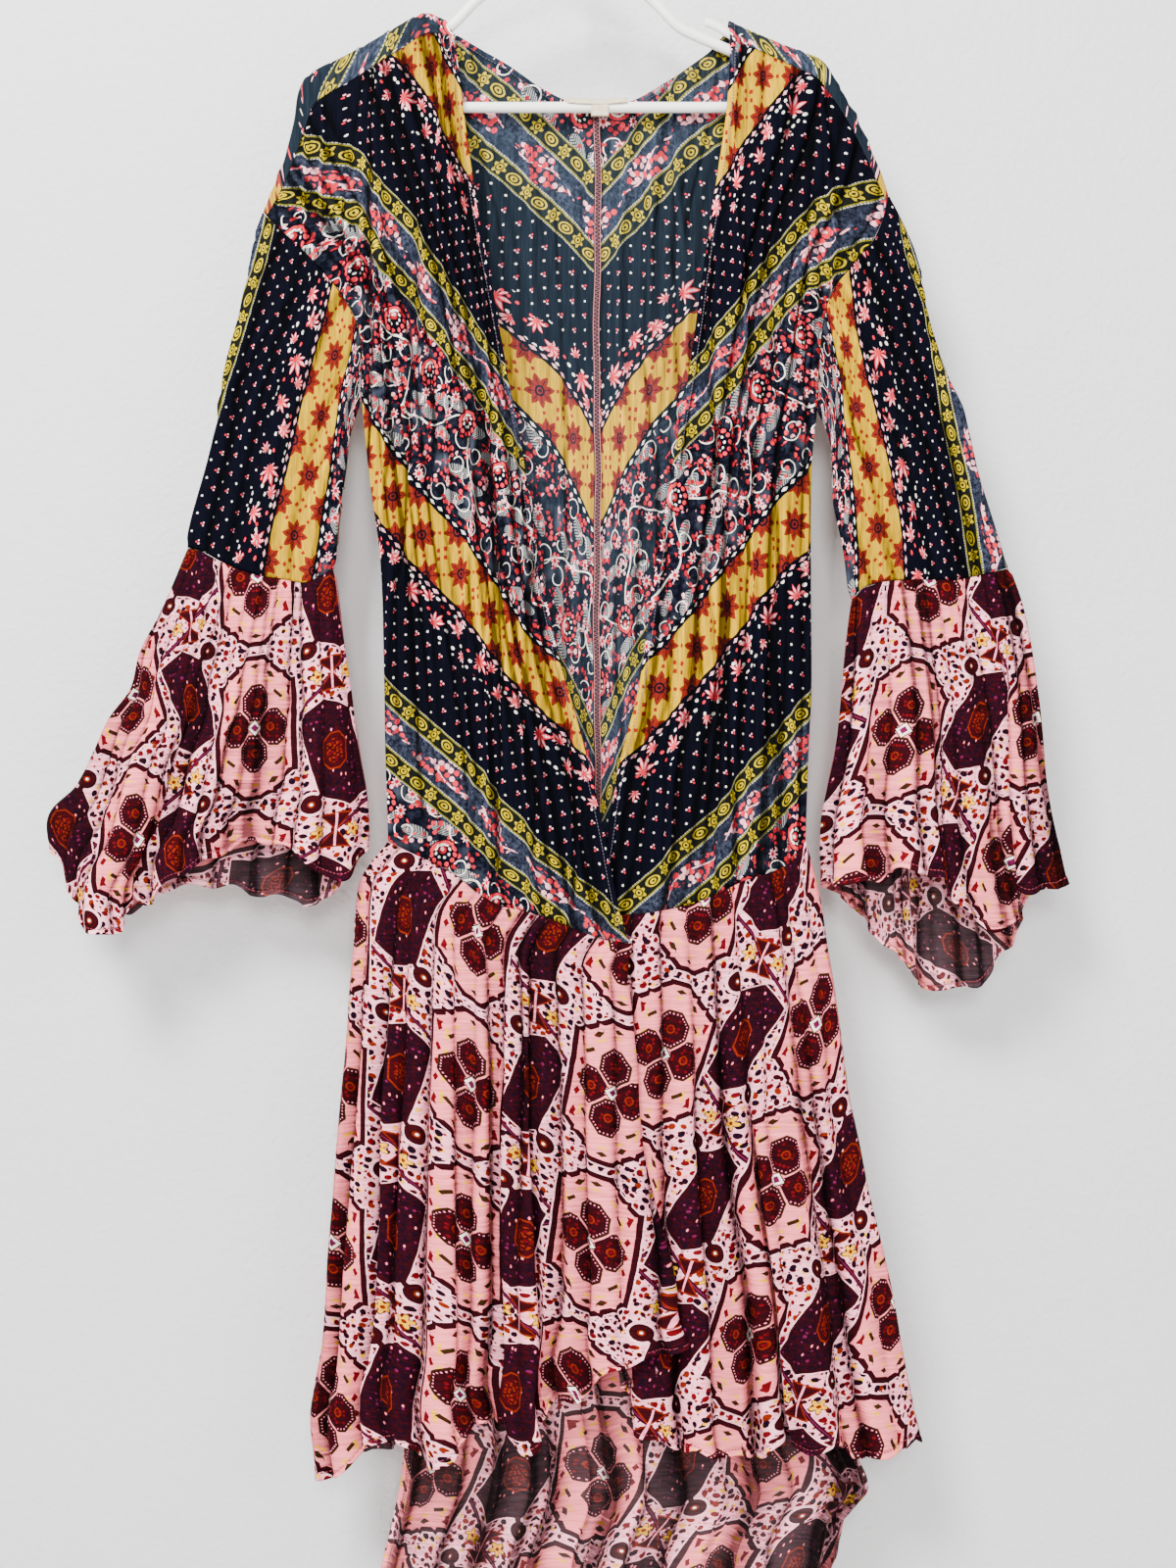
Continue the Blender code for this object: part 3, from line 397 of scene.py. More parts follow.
def bodice_panel(name, side, way, inner_table, waist, top):
    """A sheet from the side (u 0) to its inner edge (u 1), and from the waist (v 0) to its top."""
    steps = np.arange(SIDE_STEPS + 1) / SIDE_STEPS
    seam = flat(smooth_path(SIDE[side][::-1], steps), way * SIDE_GAP)
    outer = np.vstack([seam, half_ring(ARMHOLE[side], ARMHOLE_DEPTH, way)[::-1][1:-1]])
    outer[0] = waist[0]
    count = len(outer) - 1
    v = np.interp(np.arange(count + 1) / count, [0, SIDE_STEPS / count, 1], [0, 0.56, 1])
    inner = deep(smooth_path(inner_table[::-1], v), way)
    inner[0], inner[-1] = waist[-1], top[-1]
    u = np.linspace(0, 1, len(top))
    grid = coons(waist, top, outer, inner, u, v)
    depth = coons(waist, top, outer, inner, 1 - (1 - u) ** 2.2, v)[:, :, 1]
    grid[1:-1, 1:-1, 1] = depth[1:-1, 1:-1]
    return add_folds(grid, FOLDS[name], u, v, way)


def front_grid(side):
    top = shoulder_strip(side)[-1][::-1]
    waist = deep(smooth_path(WAIST[side], np.linspace(0, 1, len(top))), -1)
    return bodice_panel("front_" + side, side, -1, EDGE[side], waist, top)


def back_grid(side):
    top = np.vstack([shoulder_strip(side)[0][::-1], deep(NECK[side], 1)[::-1]])
    waist = deep(smooth_path(BACK_WAIST[side], np.linspace(0, 1, len(top))), 1)
    centre = [NECK[side][0], (CENTRE_X, -420, 12.0), (CENTRE_X, -640, 11.0), BACK_WAIST[side][-1]]
    return bodice_panel("back_" + side, side, 1, centre, waist, top)


grids = {f"front_{side}": front_grid(side) for side in SIDES}
grids |= {f"back_{side}": back_grid(side) for side in SIDES}
print("coarse panels:", {name: grid.shape[:2] for name, grid in grids.items()})

# %% Coarse sleeves, flounces and skirts
SLEEVE_ROWS, FLOUNCE_ROWS, FRONT_ROWS, BACK_ROWS, TRAIN_ROWS = 12, 9, 12, 10, 4


def ring_of(front, back):
    """One sheet round a flattened tube: inner fold, front, outer fold, back."""
    return np.concatenate([front[:, ::-1], back[:, 1:-1]], axis=1)


def sleeve_grid(side):
    shift = math.copysign(SLEEVE_SHIFT, ARMHOLE[side][0][0])
    armhole = [(x + shift, z) for x, z in ARMHOLE[side]]
    inner = [armhole[-1]] + SLEEVE_INNER[side][1:]
    halves = []
    for way in (-1, 1):
        half = tube_sheet(half_ring(armhole, ARMHOLE_DEPTH, way), half_ring(CUFF[side], CUFF_DEPTH, way),
                          SLEEVE_OUTER[side], inner, SLEEVE_ROWS, 1.0)
        v = np.linspace(0, 1, SLEEVE_ROWS + 1)
        halves.append(add_folds(half, FOLDS["sleeve_" + side], arm_fractions(), 1 - v, way))
    return ring_of(*halves)


def flounce_grid(side):
    halves = []
    for way, hem in ((-1, FLOUNCE_FRONT[side]), (1, FLOUNCE_BACK[side])):
        top = finer(half_ring(CUFF[side], CUFF_DEPTH, way), 2)
        bottom = hem_path(hem, np.linspace(0, 1, len(top)), way)
        halves.append(tube_sheet(top, bottom, FLOUNCE_OUTER[side], FLOUNCE_INNER[side], FLOUNCE_ROWS, 1.25))
    return ring_of(*halves)


def skirt_front_grid():
    """One gathered piece. Down its middle it laps over itself, under the lapped front edges."""
    left, right = grids["front_left"][0], grids["front_right"][0]
    corner, under = left[-1], right[-1]
    lap = np.array([corner, corner + (2.6, 1.8, 2.0), corner + (0.5, 3.8, 6.0), (38.0, -17.6, -884.0),
                    under + (1.6, -4.0, -1.0), under + (-1.4, -2.0, -0.5), under])
    top = np.vstack([finer(left, 2), lap[1:-1], finer(right, 2)[::-1]])
    shares = [np.linspace(0, 1, 2 * len(left) - 1), np.linspace(0, 1, len(lap))[1:-1],
              np.linspace(0, 1, 2 * len(right) - 1)]
    tables = LEFT_HEM, LAP_HEM, RIGHT_HEM
    hem = np.vstack([hem_path(table, share, -1) for table, share in zip(tables, shares)])
    return tube_sheet(top, hem, SKIRT_SIDE["left"], SKIRT_SIDE["right"], FRONT_ROWS, 0.85)


def skirt_back_grids():
    """One gathered piece down to the knee, and below it the narrower train of the long back hem."""
    top = np.vstack([finer(grids["back_left"][0], 2), finer(grids["back_right"][0], 2)[::-1][1:]])
    share = np.linspace(0, 1, len(top))
    knee = hem_path(KNEE_ROW, share, 1)
    upper = tube_sheet(top, knee, SKIRT_SIDE["left"], SKIRT_SIDE["right"], BACK_ROWS, 0.85)
    first, last = (int(np.argmin(abs(share - place))) for place in (TRAIN_FROM, TRAIN_TO))
    start = knee[first:last + 1]
    hem = hem_path(TRAIN_HEM, np.linspace(0, 1, len(start)), 1)
    v = np.linspace(0, 1, TRAIN_ROWS + 1)
    left = flat(smooth_path(TRAIN_SIDE["left"], v)) + start[0] * (0, 1, 0)
    right = flat(smooth_path(TRAIN_SIDE["right"], v)) + start[-1] * (0, 1, 0)
    left[0], right[0], left[-1], right[-1] = start[0], start[-1], hem[0], hem[-1]
    return upper, coons(start, hem, left, right, np.linspace(0, 1, len(start)), v), (first, last)


for side in SIDES:
    grids["sleeve_" + side] = sleeve_grid(side)
    grids["flounce_" + side] = flounce_grid(side)
grids["skirt_front"] = skirt_front_grid()
grids["skirt_back"], grids["train"], TRAIN_COLUMNS = skirt_back_grids()
print("coarse tubes and skirts:", {name: grid.shape[:2] for name, grid in list(grids.items())[4:]})

# %% [markdown]
# ## Fine sheets
#
# Each coarse sheet is split into steps of two to five millimetres. Sleeves and flounces are rings, so
# their outer folds come out rounded. Edges that meet another piece are drawn back a fraction of a
# millimetre. Along a free edge the last rows move, so that the narrow hem gets a crisp step.

# %% Splitting and trimming
SPLITS = {"front": (9, 10), "back": (9, 8), "sleeve": (6, 6), "flounce": (9, 6), "skirt_front": (8, 8),
          "skirt_back": (9, 5), "train": (9, 5)}
HEM_MARKS = [0, 0.9, 4.6, 5.8]
SEAM_GAP, TUBE_GAP, SHOULDER_GAP = 0.25, 0.3, 0.5
EDGES = {"start": (0, False), "end": (0, True), "left": (1, False), "right": (1, True)}


def run_length(grid, axis, backwards=False):
    """Length along the sheet's rows (axis 0) or columns (axis 1), from the first or the last one."""
    steps = np.linalg.norm(np.diff(grid, axis=axis), axis=2)
    if backwards:
        steps = np.flip(steps, axis)
    total = np.concatenate([np.zeros_like(np.take(steps, [0], axis)), np.cumsum(steps, axis)], axis)
    return np.flip(total, axis) if backwards else total


def pull_in(grid, amount, *edges):
    """Draws edges back a little: the first row is the start, the last one the end."""
    ends = {"start": (grid[0], grid[1]), "end": (grid[-1], grid[-2]),
            "left": (grid[:, 0], grid[:, 1]), "right": (grid[:, -1], grid[:, -2])}
    for name in edges:
        edge, inner = ends[name]
        way = inner - edge
        edge += way / np.linalg.norm(way, axis=1)[:, None] * amount
    return grid


def crisp_hem(grid, count):
    """Moves the last rows, so that the hem's fold and its stitched line each have one."""
    for c in range(grid.shape[1]):
        tail = grid[-count:, c][::-1].copy()
        away = np.concatenate([[0], np.cumsum(np.linalg.norm(np.diff(tail, axis=0), axis=1))])
        rest = np.linspace(HEM_MARKS[-1], away[-1], count - len(HEM_MARKS) + 1)[1:]
        places = np.concatenate([HEM_MARKS, rest])
        grid[-count:, c] = np.column_stack([np.interp(places, away, axis) for axis in tail.T])[::-1]
    return grid


def turned(grid):
    return grid.transpose(1, 0, 2)


def split_sheet(name, kind, ring=False):
    return fine(grids[name], *SPLITS[kind], ring)


sheets = {}
for side in SIDES:
    front = pull_in(split_sheet("front_" + side, "front"), SEAM_GAP, "start", "end", "left")
    sheets["front_" + side] = turned(crisp_hem(turned(front).copy(), 7)).copy()
    back = split_sheet("back_" + side, "back")
    strip = fine(shoulder_strip(side), *SPLITS["back"])
    count = strip.shape[1]
    miss = back[-1, :count][::-1] - strip[0]
    strip += miss[None] * np.clip(1 - np.arange(len(strip)) / 9, 0, 1)[:, None, None]
    pull_in(back, SEAM_GAP, "start", "left", "right")
    sheets["back_" + side] = back
    sheets["strip_" + side] = pull_in(pull_in(strip, TUBE_GAP, "end"), SHOULDER_GAP, "right")
    sheets["strip_" + side][0] = back[-1, :count][::-1]
    sleeve = split_sheet("sleeve_" + side, "sleeve", True)
    sheets["sleeve_" + side] = pull_in(sleeve, TUBE_GAP, "start", "end")
    flounce = pull_in(split_sheet("flounce_" + side, "flounce", True), TUBE_GAP, "start")
    sheets["flounce_" + side] = crisp_hem(flounce, 9)
sheets["skirt_front"] = crisp_hem(pull_in(split_sheet("skirt_front", "skirt_front"), SEAM_GAP, "start"), 9)
sheets["skirt_back"] = pull_in(split_sheet("skirt_back", "skirt_back"), SEAM_GAP, "start")
train = crisp_hem(split_sheet("train", "train"), 9)
first, last = (column * SPLITS["train"][1] for column in TRAIN_COLUMNS)
train[0] = sheets["skirt_back"][-1, first:last + 1]
sheets["train"] = train
print("fine sheets:", {name: sheet.shape[:2] for name, sheet in sheets.items()})

# %% [markdown]
# ## Creases
#
# The bodice cloth is gauze that was crinkled down its length. Every crease swallows a few
# millimetres of cloth, so a slanting stripe jumps at each one, and looks steeper than it was printed.
# So one set of lines serves both: it shapes the relief, and it says how much cloth lies between two
# points. The print is laid out on that hidden cloth, not on the picture of it.

# %% Crease lines
CREASE_SPACING = 10.5
MIDDLE_HEIGHT = 560


def crease_lines(seed, left, right, top, bottom, spacing, take):
    """Rows of: middle, wobble, wave, phase, start, stop, cloth taken up, half width, height, lean."""
    rng = np.random.default_rng(seed)
    lines = []
    middle = left + spacing * rng.uniform(0.2, 0.6)
    while middle < right:
        length = (bottom - top) * rng.choice([0.35, 0.6, 1.2])
        start = top - 60 + rng.uniform(0, 1) * max(bottom - top + 120 - length, 0)
        size = rng.uniform(0.5, 1.5)
        lines.append((middle, rng.uniform(1.2, 4.5), rng.uniform(28, 75), rng.uniform(0, 6.3), start,
                      start + length, take * size, rng.uniform(1.4, 2.4),
                      rng.choice([-1, 1]) * (0.7 + 1.0 * size), rng.uniform(-0.06, 0.06)))
        middle += spacing * rng.uniform(0.55, 1.3)
    return lines


def creased(lines, x, h):
    """Cloth taken up by all the creases left of each point, and the relief there."""
    taken, relief = np.zeros_like(x), np.zeros_like(x)
    for middle, wobble, wave, phase, start, stop, take, width, height, lean in lines:
        sway = wobble * np.sin(h / wave + phase)
        line = middle + lean * (h - MIDDLE_HEIGHT) + sway + 0.8 * np.sin(h / 11 + 2 * phase)
        fade = smoothstep((h - start) / 60) * smoothstep((stop - h) / 60)
        t = (x - line) / width
        taken += take * fade * 0.5 * (1 + np.tanh(1.2 * t))
        relief += height * fade * (np.exp(-t**2) - 0.75 * np.exp(-((t - 1.9) / 1.2) ** 2))
    return taken, relief


def cloth_run(x, h, start, density, lines):
    """Cloth, in millimetres, between a place and each point of the sheet beside it."""
    shares = (np.arange(24) + 0.5) / 24
    smooth = (x - start) * np.mean([density(start + (x - start) * share, h) for share in shares], axis=0)
    taken, relief = creased(lines, x, h)
    return smooth + taken - creased(lines, np.full_like(x, start), h)[0], relief


def outward(grid):
    """Unit normals of a sheet, facing out of the garment: -Y on its front, +Y on its back."""
    normal = np.cross(np.gradient(grid, axis=1), np.gradient(grid, axis=0))
    normal /= np.maximum(np.linalg.norm(normal, axis=2, keepdims=True), 1e-9)
    return normal * np.sign((normal[:, :, 1] * grid[:, :, 1]).sum())


def ripple(seed, x, h, size):
    """Soft uneven hollows, a few centimetres wide."""
    rng = np.random.default_rng(seed)
    waves = [(rng.uniform(0.02, 0.09), rng.uniform(-0.03, 0.03), rng.uniform(0, 6.3)) for _ in range(7)]
    return size / 3 * sum(np.sin(x * across + h * down + phase) for across, down, phase in waves)


print(len(crease_lines(4, -150, 30, 200, 800, CREASE_SPACING, 6.0)), "creases on a front panel")

# %% [markdown]
# ## Where the stripes run
#
# The bodice print is a stripe, 290 mm wide before it repeats, and the panels are cut so that it
# slants down to the middle. Each panel says where its stripes start, how steeply they were cut, and
# how much cloth stands behind a millimetre of picture. `t` counts across the stripe, `a` along it.

# %% Stripe layout on the bodice
def front_left_density(x, h):
    upper = 1 - smoothstep((h - 380) / 80)
    edge = np.interp(h, [158, 312, 444, 576], [-89, -69, -45, -22])
    density = 1.62 - 0.19 * smoothstep((h - 600) / 150) + 0.1 * upper
    density = density + 0.95 * upper * smoothstep((x - edge + 42) / 26)
    return density * (1 - 0.9 * upper * smoothstep((-163 - x) / 12))


def front_right_density(x, h):
    upper = 1 - smoothstep((h - 380) / 90)
    edge = np.interp(h, [160, 345, 485], [135, 113, 93])
    density = 1.5 - 0.12 * smoothstep((h - 600) / 150) + 0.26 * upper
    density = density + 0.25 * upper * smoothstep((edge + 36 - x) / 26)
    return density * (1 - 0.62 * upper * smoothstep((x - 188) / 12))


def back_density(x, h):
    away = np.abs(x - CENTRE_X)
    low = smoothstep((h - 300) / 220)
    density = 0.95 + 0.2 * np.exp(-(away / 35) ** 2) + low * (0.4 + 0.8 * np.exp(-(away / 30) ** 2))
    return density - 0.14 * (1 - low) * smoothstep((away - 60) / 40)


LAYOUT = {
    # the x where cloth is counted from, a height there and its t, the stripe's slant on the cloth,
    # print size, which way t grows (down 1, up -1), and which way the stripes fall (right 1, left -1)
    "front_left": (-100.8, 344.0, 133.0, 40, 1.0, 1, 1),
    "front_right": (147.2, 360.0, 133.0, 40, 0.96, 1, -1),
    "back_left": (CENTRE_X, 262.4, 187.0, 47, 0.92, -1, 1),
    "back_right": (CENTRE_X, 262.4, 187.0, 47, 0.92, -1, -1),
}
DENSITY = {"front_left": front_left_density, "front_right": front_right_density,
           "back_left": back_density, "back_right": back_density}
CREASES = {
    # seed, left, right, top, bottom, spacing, cloth taken up by one
    "front_left": (11, -250, 55, 160, 900, CREASE_SPACING, 6.0),
    "front_right": (23, 20, 265, 160, 880, CREASE_SPACING, 5.0),
    "back_left": (37, -250, 20, 130, 880, 15.0, 3.0),
    "back_right": (41, 34, 265, 130, 880, 15.0, 3.0),
}


def stripe_print(name, grid, height=None):
    """Print coordinates (a, t) of a bodice sheet, and its crease relief."""
    start, from_height, from_t, slant, size, down, fall = LAYOUT[name]
    x, h = grid[:, :, 0], -grid[:, :, 2] if height is None else height
    lines = crease_lines(*CREASES[name])
    share = CREASES[name][-1] / CREASES[name][-2] * 0.75
    density = DENSITY[name]
    run, relief = cloth_run(x, h, start, lambda at, low: np.maximum(density(at, low) - share, 0.1), lines)
    full, _ = cloth_run(x, h, start, lambda at, low: np.maximum(density(at, low), 1.25) - share, lines)
    cos, sin = math.cos(math.radians(slant)), math.sin(math.radians(slant))
    t = from_t + down * size * (cos * (h - from_height) - fall * sin * run)
    a = size * (cos * full + fall * sin * h)
    return np.dstack([a, t]), relief


prints, reliefs = {}, {}
for side in SIDES:
    for part in ("front_", "back_"):
        prints[part + side], reliefs[part + side] = stripe_print(part + side, sheets[part + side])
    strip = sheets["strip_" + side]
    height = -strip[:1, :, 2] - run_length(strip, 0)
    prints["strip_" + side], reliefs["strip_" + side] = stripe_print("back_" + side, strip, height)
    across = prints["front_" + side][:, :, 1]
    print(side, "front t:", across.min().round(), across.max().round())

# %% [markdown]
# On a sleeve the stripes run nearly down its length. So a sleeve lists the lines that it can be set
# by, as points of the picture plane, and the cloth is counted round the tube from them.

# %% Stripe layout on the sleeves
SLEEVE_LINES = {
    "left": {47: [(-187.2, -364.0), (-193.6, -391.2), (-200.0, -416.0), (-210.4, -457.6), (-222.4, -505.6),
                  (-231.2, -539.2), (-241.6, -593.6)]},
    "right": {47: [(216.0, -300.0), (228.8, -362.4), (238.4, -408.0), (246.4, -444.0), (258.4, -484.8),
                   (267.2, -528.0), (272.0, -564.0), (273.6, -602.4)],
              133: [(256.0, -300.0), (264.8, -336.0), (274.4, -384.0), (292.0, -432.0), (300.8, -468.0),
                    (310.4, -504.0), (320.0, -552.0), (328.0, -597.6)]},
}
SLEEVE_LEAN = {"left": 13, "right": -12}
SLEEVE_DENSITY = 1.2


def sleeve_print(side, grid):
    """Print coordinates round a sleeve. Its columns run inner fold, front, outer fold, back."""
    round_length = run_length(grid, 1)
    lines = crease_lines(50 + len(side), 0, 260, 280, 620, 11.0, 1.5)
    taken, relief = creased(lines, round_length, -grid[:, :, 2])
    t = np.zeros(grid.shape[:2])
    half = grid.shape[1] // 2
    for row, (points, length) in enumerate(zip(grid, round_length)):
        outer = np.abs(points[:half + 1, 0])
        marks, values = [], []
        for value, line in SLEEVE_LINES[side].items():
            x, z = np.array(line).T
            at = abs(np.interp(-points[half // 2, 2], -z, x))
            marks.append(np.interp(at, outer, length[:half + 1]))
            values.append(value)
        t[row] = np.interp(length, marks, values)
        t[row] += SLEEVE_DENSITY * (np.minimum(length - marks[0], 0) + np.maximum(length - marks[-1], 0))
    lean = math.radians(SLEEVE_LEAN[side])
    a = -grid[:, :, 2] * math.cos(lean) - grid[:, :, 0] * math.sin(lean)
    return np.dstack([a, t + 0.7 * (taken - taken.mean())]), relief * 0.8


for side in SIDES:
    prints["sleeve_" + side], reliefs["sleeve_" + side] = sleeve_print(side, sheets["sleeve_" + side])
print("sleeve t:", {side: prints["sleeve_" + side][:, :, 1].round().min() for side in SIDES})

# %% [markdown]
# The skirt and the flounces are gathered into their seams. Small tucks stand up at the seam and run
# out a hand's breadth below it. Their print is counted along each row from the middle of the piece.

# %% Folds and gathers
ROUND_FOLDS = {
    # distance apart, cloth hidden in one, depth
    "front": (22, 0, 4.0), "back": (34, 0, 2.5), "sleeve": (26, 0, 3.5), "flounce": (22, 5, 6.5),
    "skirt": (27, 8, 12.5),
}
VALLEY_SIDES = [8.0, 24.0]
TUCK_HEIGHT, TUCK_REACH = 1.9, 90


def fold_lines(seed, grid, spacing, take, depth):
    """Round folds that fan out down the cloth. Returns the cloth hidden in valleys, relief and painted shade.
    """
    rng = np.random.default_rng(seed)
    across, below = run_length(grid, 1), run_length(grid, 0)
    place = across / across[:, -1:] * across[-1, -1]
    hidden, valley, shade = (np.zeros(grid.shape[:2]) for _ in range(3))
    x = spacing * rng.uniform(0.4, 0.9)
    while x < place.max() - 0.3 * spacing:
        size = rng.uniform(0.4, 1.0)
        start, stop = rng.choice([-200, -200, 0, 90]), rng.choice([330, 900, 900, 900])
        strength = size * (0.45 + 0.6 * smoothstep((below - start) / 160) * smoothstep((stop - below) / 160))
        sway = rng.uniform(1.5, 4) * np.sin(below / rng.uniform(50, 110) + rng.uniform(0, 6.3))
        d = place - x - sway
        left, right = rng.permutation(VALLEY_SIDES)
        dip = np.maximum(1 - np.abs(d) / np.where(d < 0, left, right), 0) ** 2
        valley = np.maximum(valley, strength * dip)
        hidden += take * size * 0.5 * (1 + np.tanh(d / 0.9))
        # Painted shade: a dark line in each valley and softer shade down its sides; all the rest is painted a
        # little lighter at the end.
        shade -= strength * (3.6 * np.exp(-(d / 2.5) ** 2) + 2.2 * dip)
        x += spacing * rng.uniform(0.45, 1.5)
    relief = depth * smoothstep((below + 90) / 360) * (0.75 - 1.3 * valley)
    return hidden, relief, shade + 0.22


def hollow(grid, reach=30):
    """How far each point lies behind the local middle of its row, in millimetres."""
    depth = np.abs(grid[:, :, 1])
    kernel = np.hanning(2 * reach + 1)
    padded = np.pad(depth, ((0, 0), (reach, reach)), mode="edge")
    smooth = np.array([np.convolve(row, kernel / kernel.sum(), "valid") for row in padded])
    return depth - smooth


def gathers(seed, grid, spacing, height, reach):
    """Narrow tucks that start at the top seam and fade down the cloth."""
    rng = np.random.default_rng(seed)
    place = run_length(grid[:1], 1)
    below = run_length(grid, 0)
    relief = np.zeros(grid.shape[:2])
    middle = spacing * 0.5
    while middle < place.max():
        size = rng.uniform(0.4, 1.3)
        length = reach * rng.uniform(0.35, 1.2)
        sway = rng.uniform(-0.05, 0.05) * below
        tuck = np.exp(-((place + sway - middle) / (spacing * rng.uniform(0.18, 0.3))) ** 2)
        relief += height * size * tuck * smoothstep(below / 5) * np.exp(-(below / length) ** 1.6)
        middle += spacing * rng.uniform(0.7, 1.3)
    return relief


print("gathers reach", TUCK_REACH, "mm down")

# %% Print of the skirt
def fan(grid, middle_column):
    """The cut laid flat as part of a ring: for each point its angle in the ring, and its radius."""
    across, below = run_length(grid, 1), run_length(grid, 0)
    top, bottom, drop = across[0, -1], across[-1, -1], below[-1].mean()
    spread = (bottom - top) / drop
    share = across / across[:, -1:]
    return (share - share[:, middle_column:middle_column + 1]) * spread, top / spread + below, top / spread


def fan_print(angle, radius, inner, hidden):
    return np.dstack([radius * np.sin(angle) + hidden, radius * np.cos(angle) - inner])


shades = {}
for seed, (name, middle, spacing) in enumerate([("flounce_left", 60, 9.0), ("flounce_right", 60, 9.0),
                                                ("skirt_front", 176, 9.5), ("skirt_back", 145, 9.5)]):
    grid = sheets[name]
    angle, radius, inner = fan(grid, middle)
    hidden, folded, shade = fold_lines(60 + seed, grid, *ROUND_FOLDS[name.split("_")[0]])
    hidden = hidden - hidden[:, middle:middle + 1]
    prints[name] = fan_print(angle, radius, inner, hidden)
    # Painted shade: the folds' shade, with hollows darker and crests lighter by their depth.
    shades[name] = shade + 0.18 * hollow(grid)
    uneven = ripple(80 + seed, *prints[name].transpose(2, 0, 1), 0.9) * smoothstep(radius - inner - 4)
    reliefs[name] = gathers(70 + seed, grid, spacing, TUCK_HEIGHT, TUCK_REACH) + folded + uneven
below = run_length(sheets["train"], 0)
prints["train"] = fan_print(angle[-1:, first:last + 1], radius[-1:, first:last + 1] + below, inner,
                            hidden[-1:, first:last + 1])
reliefs["train"] = ripple(83, *prints["train"].transpose(2, 0, 1), 0.9)
reliefs["train"] += folded[-1:, first:last + 1] * (1 + 0.3 * smoothstep(below / 150))
# Painted shade on the train: its folds' shade made stronger, hollows darker, and all of it darker.
shades["train"] = 1.3 * shades["skirt_back"][-1:, first:last + 1] + 0.25 * hollow(sheets["train"]) - 0.3
print("skirt front cloth across the hem:", round(float(np.ptp(prints["skirt_front"][-1, :, 0]))), "mm")

# %% [markdown]
# # Materials
#
# The prints are drawn with shader nodes, so they stay sharp at any distance. A printed motif is
# only arithmetic on the two print coordinates: a disc is where the distance from its centre is below its
# radius, and a row of discs is one disc on a coordinate that starts again every few millimetres. The
# small class below lets such sums be written as sums, each one adding its Math node.

# %% Arithmetic with nodes
class Value:
    """A number, place or colour that varies over a surface."""

    def __init__(self, socket):
        self.socket, self.tree = socket, socket.id_data

    def __rsub__(self, other):
        return maths(self.tree, "SUBTRACT", other, self)

    def every(self, period):
        """The distance from the middle of a step that repeats."""
        return self.wrap(period / 2, -period / 2)


def put(value, socket):
    """Links a value to a socket, or sets the socket to a number, a colour or a dye's name."""
    if isinstance(value, Value):
        socket.id_data.links.new(value.socket, socket)
    else:
        socket.default_value = DYES[value] if isinstance(value, str) else value


def put_all(sockets, values):
    for label, value in values.items():
        put(value, sockets[label])


def add_node(tree, kind, *values, output=0, **settings):
    """A node with these settings, its first inputs filled. Returns one of its outputs."""
    node = tree.nodes.new("ShaderNode" + kind)
    for label, setting in settings.items():
        setattr(node, label, setting)
    for value, socket in zip(values, node.inputs):
        put(value, socket)
    return Value(node.outputs[output])


def maths(tree, operation, *values):
    return add_node(tree, "Math", *values, operation=operation)


def sum_method(operation):
    return lambda self, *others: maths(self.tree, operation, self, *others)


for word, operation in {
        "__add__": "ADD", "__radd__": "ADD", "__sub__": "SUBTRACT", "__mul__": "MULTIPLY",
        "__rmul__": "MULTIPLY", "__truediv__": "DIVIDE", "__abs__": "ABSOLUTE", "below": "LESS_THAN",
        "above": "GREATER_THAN", "at_least": "MAXIMUM", "at_most": "MINIMUM", "wrap": "WRAP",
        "modulo": "MODULO", "floor": "FLOOR", "sign": "SIGN", "root": "SQRT", "sine": "SINE",
        "cosine": "COSINE"}.items():
    setattr(Value, word, sum_method(operation))


def reach(p, q):
    """Distance from a motif's centre."""
    return maths(p.tree, "MULTIPLY_ADD", p, p, q * q).root()


def bearing(p, q):
    return maths(p.tree, "ARCTAN2", q, p)


def joined(*parts):
    return add_node(parts[0].tree, "CombineXYZ", *parts)


def parted(vector):
    node = add_node(vector.tree, "SeparateXYZ", vector).socket.node
    return [Value(socket) for socket in node.outputs]


def scaled(vector, factors):
    return add_node(vector.tree, "VectorMath", vector, factors, operation="MULTIPLY")


print("node helpers ready")

# %% Noise, dyes and groups
def cloud(vector, size, detail=1.0, rough=0.5):
    """Soft noise with lumps of this size."""
    lumps = add_node(vector.tree, "TexNoise", vector)
    put_all(lumps.socket.node.inputs, {"Scale": 1 / size, "Detail": detail, "Roughness": rough})
    return lumps


def scatter(p, q, size, loose=1.0):
    """Cells of about this size: place from a cell's centre, and the cell's own three chance numbers."""
    node = add_node(p.tree, "TexVoronoi", voronoi_dimensions="2D").socket.node
    put_all(node.inputs, {"Vector": joined(p, q), "Scale": 1 / size, "Randomness": loose})
    x, y, _ = parted(Value(node.outputs["Position"]))
    return p - x, q - y, parted(Value(node.outputs["Color"]))


def dye(red, green, blue):
    """A linear colour, from the values of an ordinary colour picker."""
    return tuple(((c / 255 + 0.055) / 1.055) ** 2.4 for c in (red, green, blue)) + (1.0,)


def paint(colour, *layers):
    """Prints over a colour. The layers are pairs: a mask, and the dye that shows where it is 1."""
    for mask, dyed in zip(layers[::2], layers[1::2]):
        node = add_node(mask.tree, "Mix", mask, data_type="RGBA").socket.node
        put(colour, node.inputs[6])
        put(dyed, node.inputs[7])
        colour = Value(node.outputs[2])
    return colour


def rings(colour, r, *steps):
    """Rings from the outside in. The steps are pairs: an outer radius, and the ring's dye."""
    for radius, dyed in zip(steps[::2], steps[1::2]):
        colour = paint(colour, r.below(radius), dyed)
    return colour


def new_group(name, **inputs):
    """An empty node group with these inputs. Returns it and the values that they bring."""
    tree = bpy.data.node_groups.new(name, "ShaderNodeTree")
    for label, kind in inputs.items():
        tree.interface.new_socket(name=label, in_out="INPUT", socket_type="NodeSocket" + kind)
    entry = tree.nodes.new("NodeGroupInput")
    return [tree] + [Value(entry.outputs[label]) for label in inputs]


